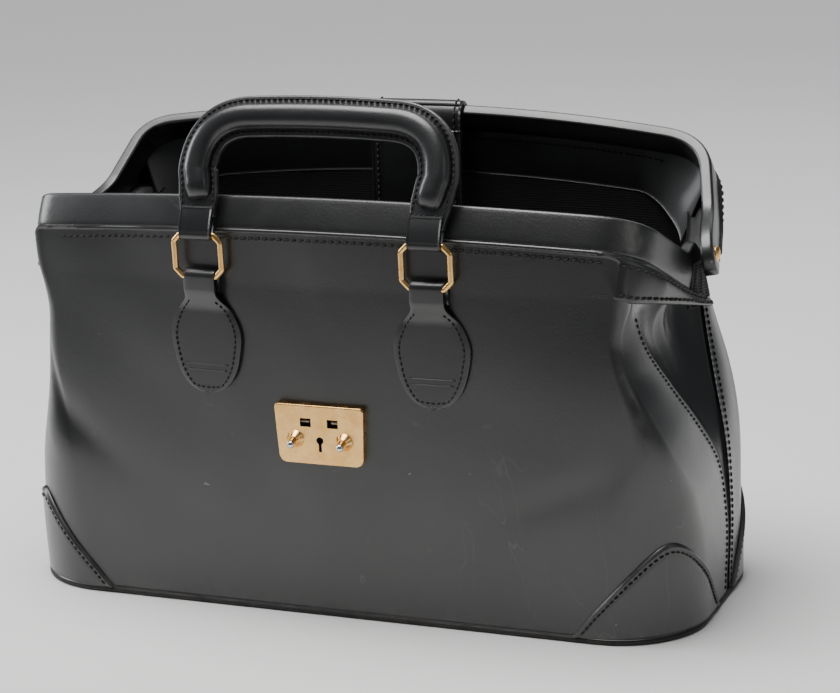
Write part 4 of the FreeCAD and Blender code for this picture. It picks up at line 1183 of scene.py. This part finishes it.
def make_ring(side, hand):
    """A brass wire ring: a rectangle with its corners cut."""
    name = SIDES[side] + "_" + HANDS[hand]
    low, high = RING_PIVOT[side], HANDLE_PIVOT[side]
    up = unit(high - low)
    reach = np.linalg.norm(high - low)
    half = RING_WIDE / 2 - WIRE_R
    cut = 4.2
    corners = [(half, 0), (half, reach), (-half, reach), (-half, 0)]
    path = []
    for k, corner in enumerate(corners):
        before, after = np.array(corners[k - 1]), np.array(corners[(k + 1) % 4])
        corner = np.array(corner, float)
        a = corner + unit(before - corner) * cut
        b = corner + unit(after - corner) * cut
        path += [a + unit(before - corner) * 0.8,
                 *bezier(a + unit(before - corner) * 0.4, a, a + (b - a) * 0.22, 4),
                 *bezier(a + (b - a) * 0.78, b, b + unit(after - corner) * 0.4, 4),
                 b + unit(after - corner) * 0.8]
    path = np.array(path)
    spots = low + X_AXIS * (hand * RING_X + path[:, :1]) + path[:, 1:] * up
    out = np.cross(X_AXIS, up)
    ring = tube("ring_%s_wire" % name, spots, WIRE_R, BRASS, closed=True, count=14, up=out,
                body=SIDES[side] + "_rings", slot="brass")
    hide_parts("ring_" + name)


CHAPE_LONG = 67.0
CHAPE_HALF = 21.0
NECK_HALF = 9.4
CHAPE_T = 2.4


def chape_half(z):
    """Half width of the tongue at a height below the ring's bar."""
    body = keyed(z, [(-46, CHAPE_HALF), (-30, CHAPE_HALF), (-20, CHAPE_HALF - 4.5), (-12, NECK_HALF + 0.6),
                     (-6, NECK_HALF), (20, NECK_HALF)])
    t = np.clip((-34 - z) / (CHAPE_LONG - 34), 0, 1)
    return body * np.sqrt(np.clip(1 - t ** 2.3, 0, 1)) ** 0.92


def make_chape(side, hand):
    """The leather tongue sewn to the panel that holds a ring, its stitches and two pressed ridges."""
    name = SIDES[side] + "_" + HANDS[hand]
    how = {"body": SIDES[side] + "_side", "slot": "leather"}
    foot = np.array([0, side * BASE_Y, 0])
    up = unit(WELT[side] - foot)
    out = np.cross(X_AXIS, up) * -side
    origin = foot + up * np.dot(RING_PIVOT[side] - foot, up)
    bar = np.dot(RING_PIVOT[side] - foot, out)
    radius = 3.1
    low = CHAPE_T + 0.2
    high = bar + radius + 0.9
    heights = -CHAPE_LONG + (CHAPE_LONG - 7.0) * np.sin(np.linspace(0, 1, 46) * math.pi / 2) ** 1.3
    front = np.stack([heights, low + (high - low) * smooth((heights + 20) / 14)], 1)
    arc = np.linspace(-0.15, math.pi * 0.98, 18)
    turn = np.stack([np.sin(arc) * (radius + 0.9), bar + np.cos(arc) * (radius + 0.9)], 1)
    back = np.array([[-4.0, bar - radius + 0.4], [-9.0, 0.9]])
    route = np.concatenate([front, turn, back])
    half = np.where(np.arange(len(route)) < len(front), chape_half(route[:, 0]), NECK_HALF)
    U = np.sin(np.linspace(-1, 1, 27) * math.pi / 2)
    x = hand * RING_X
    edge_drop = 0.55 * np.abs(U) ** 8
    grid = (origin + X_AXIS * (x + U[:, None, None] * half[None, :, None])
            + route[None, :, :1] * up + (route[None, :, 1:] - edge_drop[:, None, None]) * out)
    grid = grid + out * body_bow(side, grid, out)[..., None]
    wear = np.tile(0.3 * np.abs(U)[:, None] ** 10, len(route))
    chape = shell("chape_%s_leather" % name, grid, 2.0, [LEATHER, LEATHER], flip=side > 0, wear=wear,
                  rim_wear=0.3, **how)
    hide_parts("chape_" + name)
    inset = 3.4
    z = np.linspace(-14, -CHAPE_LONG + inset + 0.8, 60)
    right = np.stack([np.maximum(chape_half(z) - inset, 0.2), z], 1)
    foot_z = -CHAPE_LONG + inset
    tip = bezier(right[-1], (right[-1, 0] * 0.4, foot_z), (0, foot_z), 8)[1:]
    half_line = np.concatenate([right, tip])
    whole = resample(np.concatenate([half_line, (half_line * [-1, 1])[::-1][1:]]), 160)
    lift = low + (high - low) * smooth((whole[:, 1] + 20) / 14)
    path = origin + X_AXIS * (x + whole[:, :1]) + whole[:, 1:] * up + lift[:, None] * out
    path = path + out * (body_bow(side, path, out) + 0.1)[:, None]
    stitches("chape_%s_stitches" % name, [(path, np.tile(out, (160, 1)))], pitch=3.0, long=2.3, **how)
    for k, z in enumerate((-53.5, -50.3)):
        wide = chape_half(np.array([z]))[0] - 6.0
        xs = np.linspace(-wide, wide, 12)
        path = origin + X_AXIS * (x + xs[:, None]) + z * up + (CHAPE_T + 0.25) * out
        path = path + out * body_bow(side, path, out)[:, None]
        tube("chape_%s_ridge_%d" % (name, k + 1), path, 0.55, LEATHER, flat=0.8, **how)


def body_bow(side, points, out):
    """How far the leather's face stands off the flat plane of the panel at these points, along out."""
    x, z = points[..., 0], points[..., 2]
    foot = side * BASE_Y
    flat = foot + (WELT[side][1] - foot) * z / WELT[side][2]
    return (face_y(side, x, z) - flat) / out[1]


# ---- closing flap --------------------------------------------------------------------------------
FLAP_HALF = 28.0
FLAP_T = 2.6


def flap_strip(name, route, half_at=None, nodes=()):
    """Part of the flap along a route in the YZ plane."""
    route = resample(route, max(int(line_length(route) / 1.2), 12))
    U = np.linspace(-1, 1, 29)
    half = np.full(len(route), FLAP_HALF) if half_at is None else half_at(route)
    crown = 0.5 * np.abs(U) ** 6
    normal = sideways(route)
    spots = route[None] + normal[None] * (FLAP_T / 2 - crown[:, None, None])
    grid = np.stack([U[:, None] * half[None], spots[..., 0], spots[..., 1]], -1)
    piece = shell(name, grid, FLAP_T, [LEATHER, SHADED_INNER_LEATHER], slot="leather", flip=True)
    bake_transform(piece)
    if nodes:
        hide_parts(*nodes)
    inset = 3.8
    keep = half > inset + 1
    face = route + normal * (FLAP_T / 2 + 0.1)
    normals = np.column_stack([0 * half, normal])[keep]
    lines = [(np.column_stack([sign * (half - inset), face])[keep], normals) for sign in (-1, 1)]
    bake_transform(stitches(name + "_stitches", lines, slot="leather"))


def make_flap():
    """The closing strap in three strips: over the rear bar, the middle and the tongue."""
    pivot, bend, elbow = (joint_point(n)[1:] for n in ("flap_swing", "flap_level", "flap_bend"))
    end = node_box("flap_tongue")[0][2]
    back = tilt(1, np.array([0, HALF_GAP + BAND - 1.5, MOUTH_R + 1.5]))[1:]
    first_mid = (pivot + bend) / 2
    second_mid = (bend + elbow) / 2

    root_dir = unit(back - pivot)
    to_bend, to_pivot, to_elbow = unit(bend - pivot), unit(pivot - bend), unit(elbow - bend)
    turn = bezier(pivot + root_dir * 6, pivot, pivot + to_bend * 4, 9)
    route = np.concatenate([[back], turn, [first_mid]])
    flap_strip("flap_over_bar", route,
               nodes=("flap_root", "flap_edge"))
    turn = bezier(bend + to_pivot * 4, bend, bend + to_elbow * 5, 9)
    route = np.concatenate([[first_mid], turn, [second_mid]])
    flap_strip("flap_middle_leather", route,
               nodes=("flap_bridge",))
    route = np.concatenate([[second_mid], [elbow], [[elbow[0], end]]])

    def half_at(line):
        left = np.clip((line[:, 1] - end) / 11.0, 0, 1)
        return FLAP_HALF - 11.0 * (1 - np.sqrt(np.clip(1 - (1 - left) ** 2, 0, 1)))

    flap_strip("flap_tongue_leather", route,
               half_at, nodes=("flap_tongue",))


# ---- floor, light and camera ---------------------------------------------------------------------
def make_floor():
    """Pale floor; its far front is painted dark, a painted shade that the bag's upper half reflects."""
    n = Nodes("floor")
    split = n.add("ShaderNodeSeparateXYZ")
    n.link(n.place, split.inputs["Vector"])
    # painted shade: the floor's colour turns from pale at y -0.22 m to dark (0.14) at y -1.2 m and beyond
    shade = n.ranged(split.outputs["Y"], -1.2, -0.22)
    pale = n.mix(n.noise(3.0, 3.0), (0.79, 0.79, 0.78), (0.82, 0.82, 0.81))
    colour = n.mix(shade, (0.14, 0.14, 0.142), pale)
    rough = n.ranged(n.noise(8.0), 0.3, 0.7, 0.75, 0.85)
    n.finish(colour, rough)
    size = 6000.0
    corners = np.array([(-size, -size, 0), (size, -size, 0), (size, size, 0), (-size, size, 0)])
    floor = make("floor", corners, [[0, 1, 2, 3]], n.material)


def area_light(name, place, target, size, power, colour):
    data = bpy.data.lights.new(name, "AREA")
    data.shape = "RECTANGLE"
    data.size = size
    data.size_y = size
    data.energy = power
    data.color = colour
    lamp = bpy.data.objects.new(name, data)
    bpy.context.scene.collection.objects.link(lamp)
    lamp.location = place
    lamp.rotation_euler = (Vector(target) - Vector(place)).to_track_quat("-Z", "Y").to_euler()


def make_lights():
    """Four soft lamps, a broad weak sun and a dim sky."""
    area_light("overhead", (-0.1, -0.1, 1.35), (0, 0, 0), 0.9, 16, (1.0, 0.99, 0.97))
    area_light("left_key", (-1.5, -0.15, 0.75), (0, 0, 0.05), 0.7, 11, (0.94, 0.97, 1.0))
    area_light("right_fill", (1.5, -0.2, 0.8), (0, 0, 0.12), 0.7, 1, (1, 1, 1))
    area_light("back_rim", (0.3, 1.5, 1.2), (0, 0, 0.15), 1.0, 3, (0.92, 0.96, 1.0))
    sun = bpy.data.lights.new("sky", "SUN")
    sun.energy = 2.0
    sun.angle = math.radians(50)
    lamp = bpy.data.objects.new("sky", sun)
    bpy.context.scene.collection.objects.link(lamp)
    lamp.rotation_euler = Vector((0.3, 0.05, -1.0)).to_track_quat("-Z", "Y").to_euler()
    world = bpy.data.worlds.new("studio")
    world.use_nodes = True
    background = world.node_tree.nodes["Background"]
    background.inputs["Color"].default_value = (0.86, 0.90, 0.96, 1)
    background.inputs["Strength"].default_value = 0.13
    bpy.context.scene.world = world


def make_camera():
    """The photo's viewpoint."""
    azimuth, elevation, roll = math.radians(21.72), math.radians(13.90), math.radians(-1.74)
    target = Vector((0.0223, 0.0, 0.1365))
    distance = 1.4075
    level = math.cos(elevation)
    forward = Vector((-math.sin(azimuth) * level, math.cos(azimuth) * level, -math.sin(elevation)))
    data = bpy.data.cameras.new("camera")
    data.lens = 105.05
    data.sensor_width = 36.0
    camera = bpy.data.objects.new("camera", data)
    bpy.context.scene.collection.objects.link(camera)
    turn = forward.to_track_quat("-Z", "Y").to_matrix().to_4x4()
    place = Matrix.Translation(target - forward * distance)
    camera.matrix_world = place @ turn @ Matrix.Rotation(roll, 4, "Z")
    bpy.context.scene.camera = camera


make_floor()
make_lights()
make_camera()
for side in SIDES:
    make_bar(side)
    make_rivets(side)
    make_body(side)
    make_body_stitches(side)
    make_inside(side)
    make_handle(side)
    for hand in HANDS:
        make_patch(side, hand)
        make_roll(side, hand)
        make_ring(side, hand)
        make_chape(side, hand)
for hand in HANDS:
    make_gusset(hand)
    make_webbing(hand)
make_bottom()
make_base_welt()
make_flap()
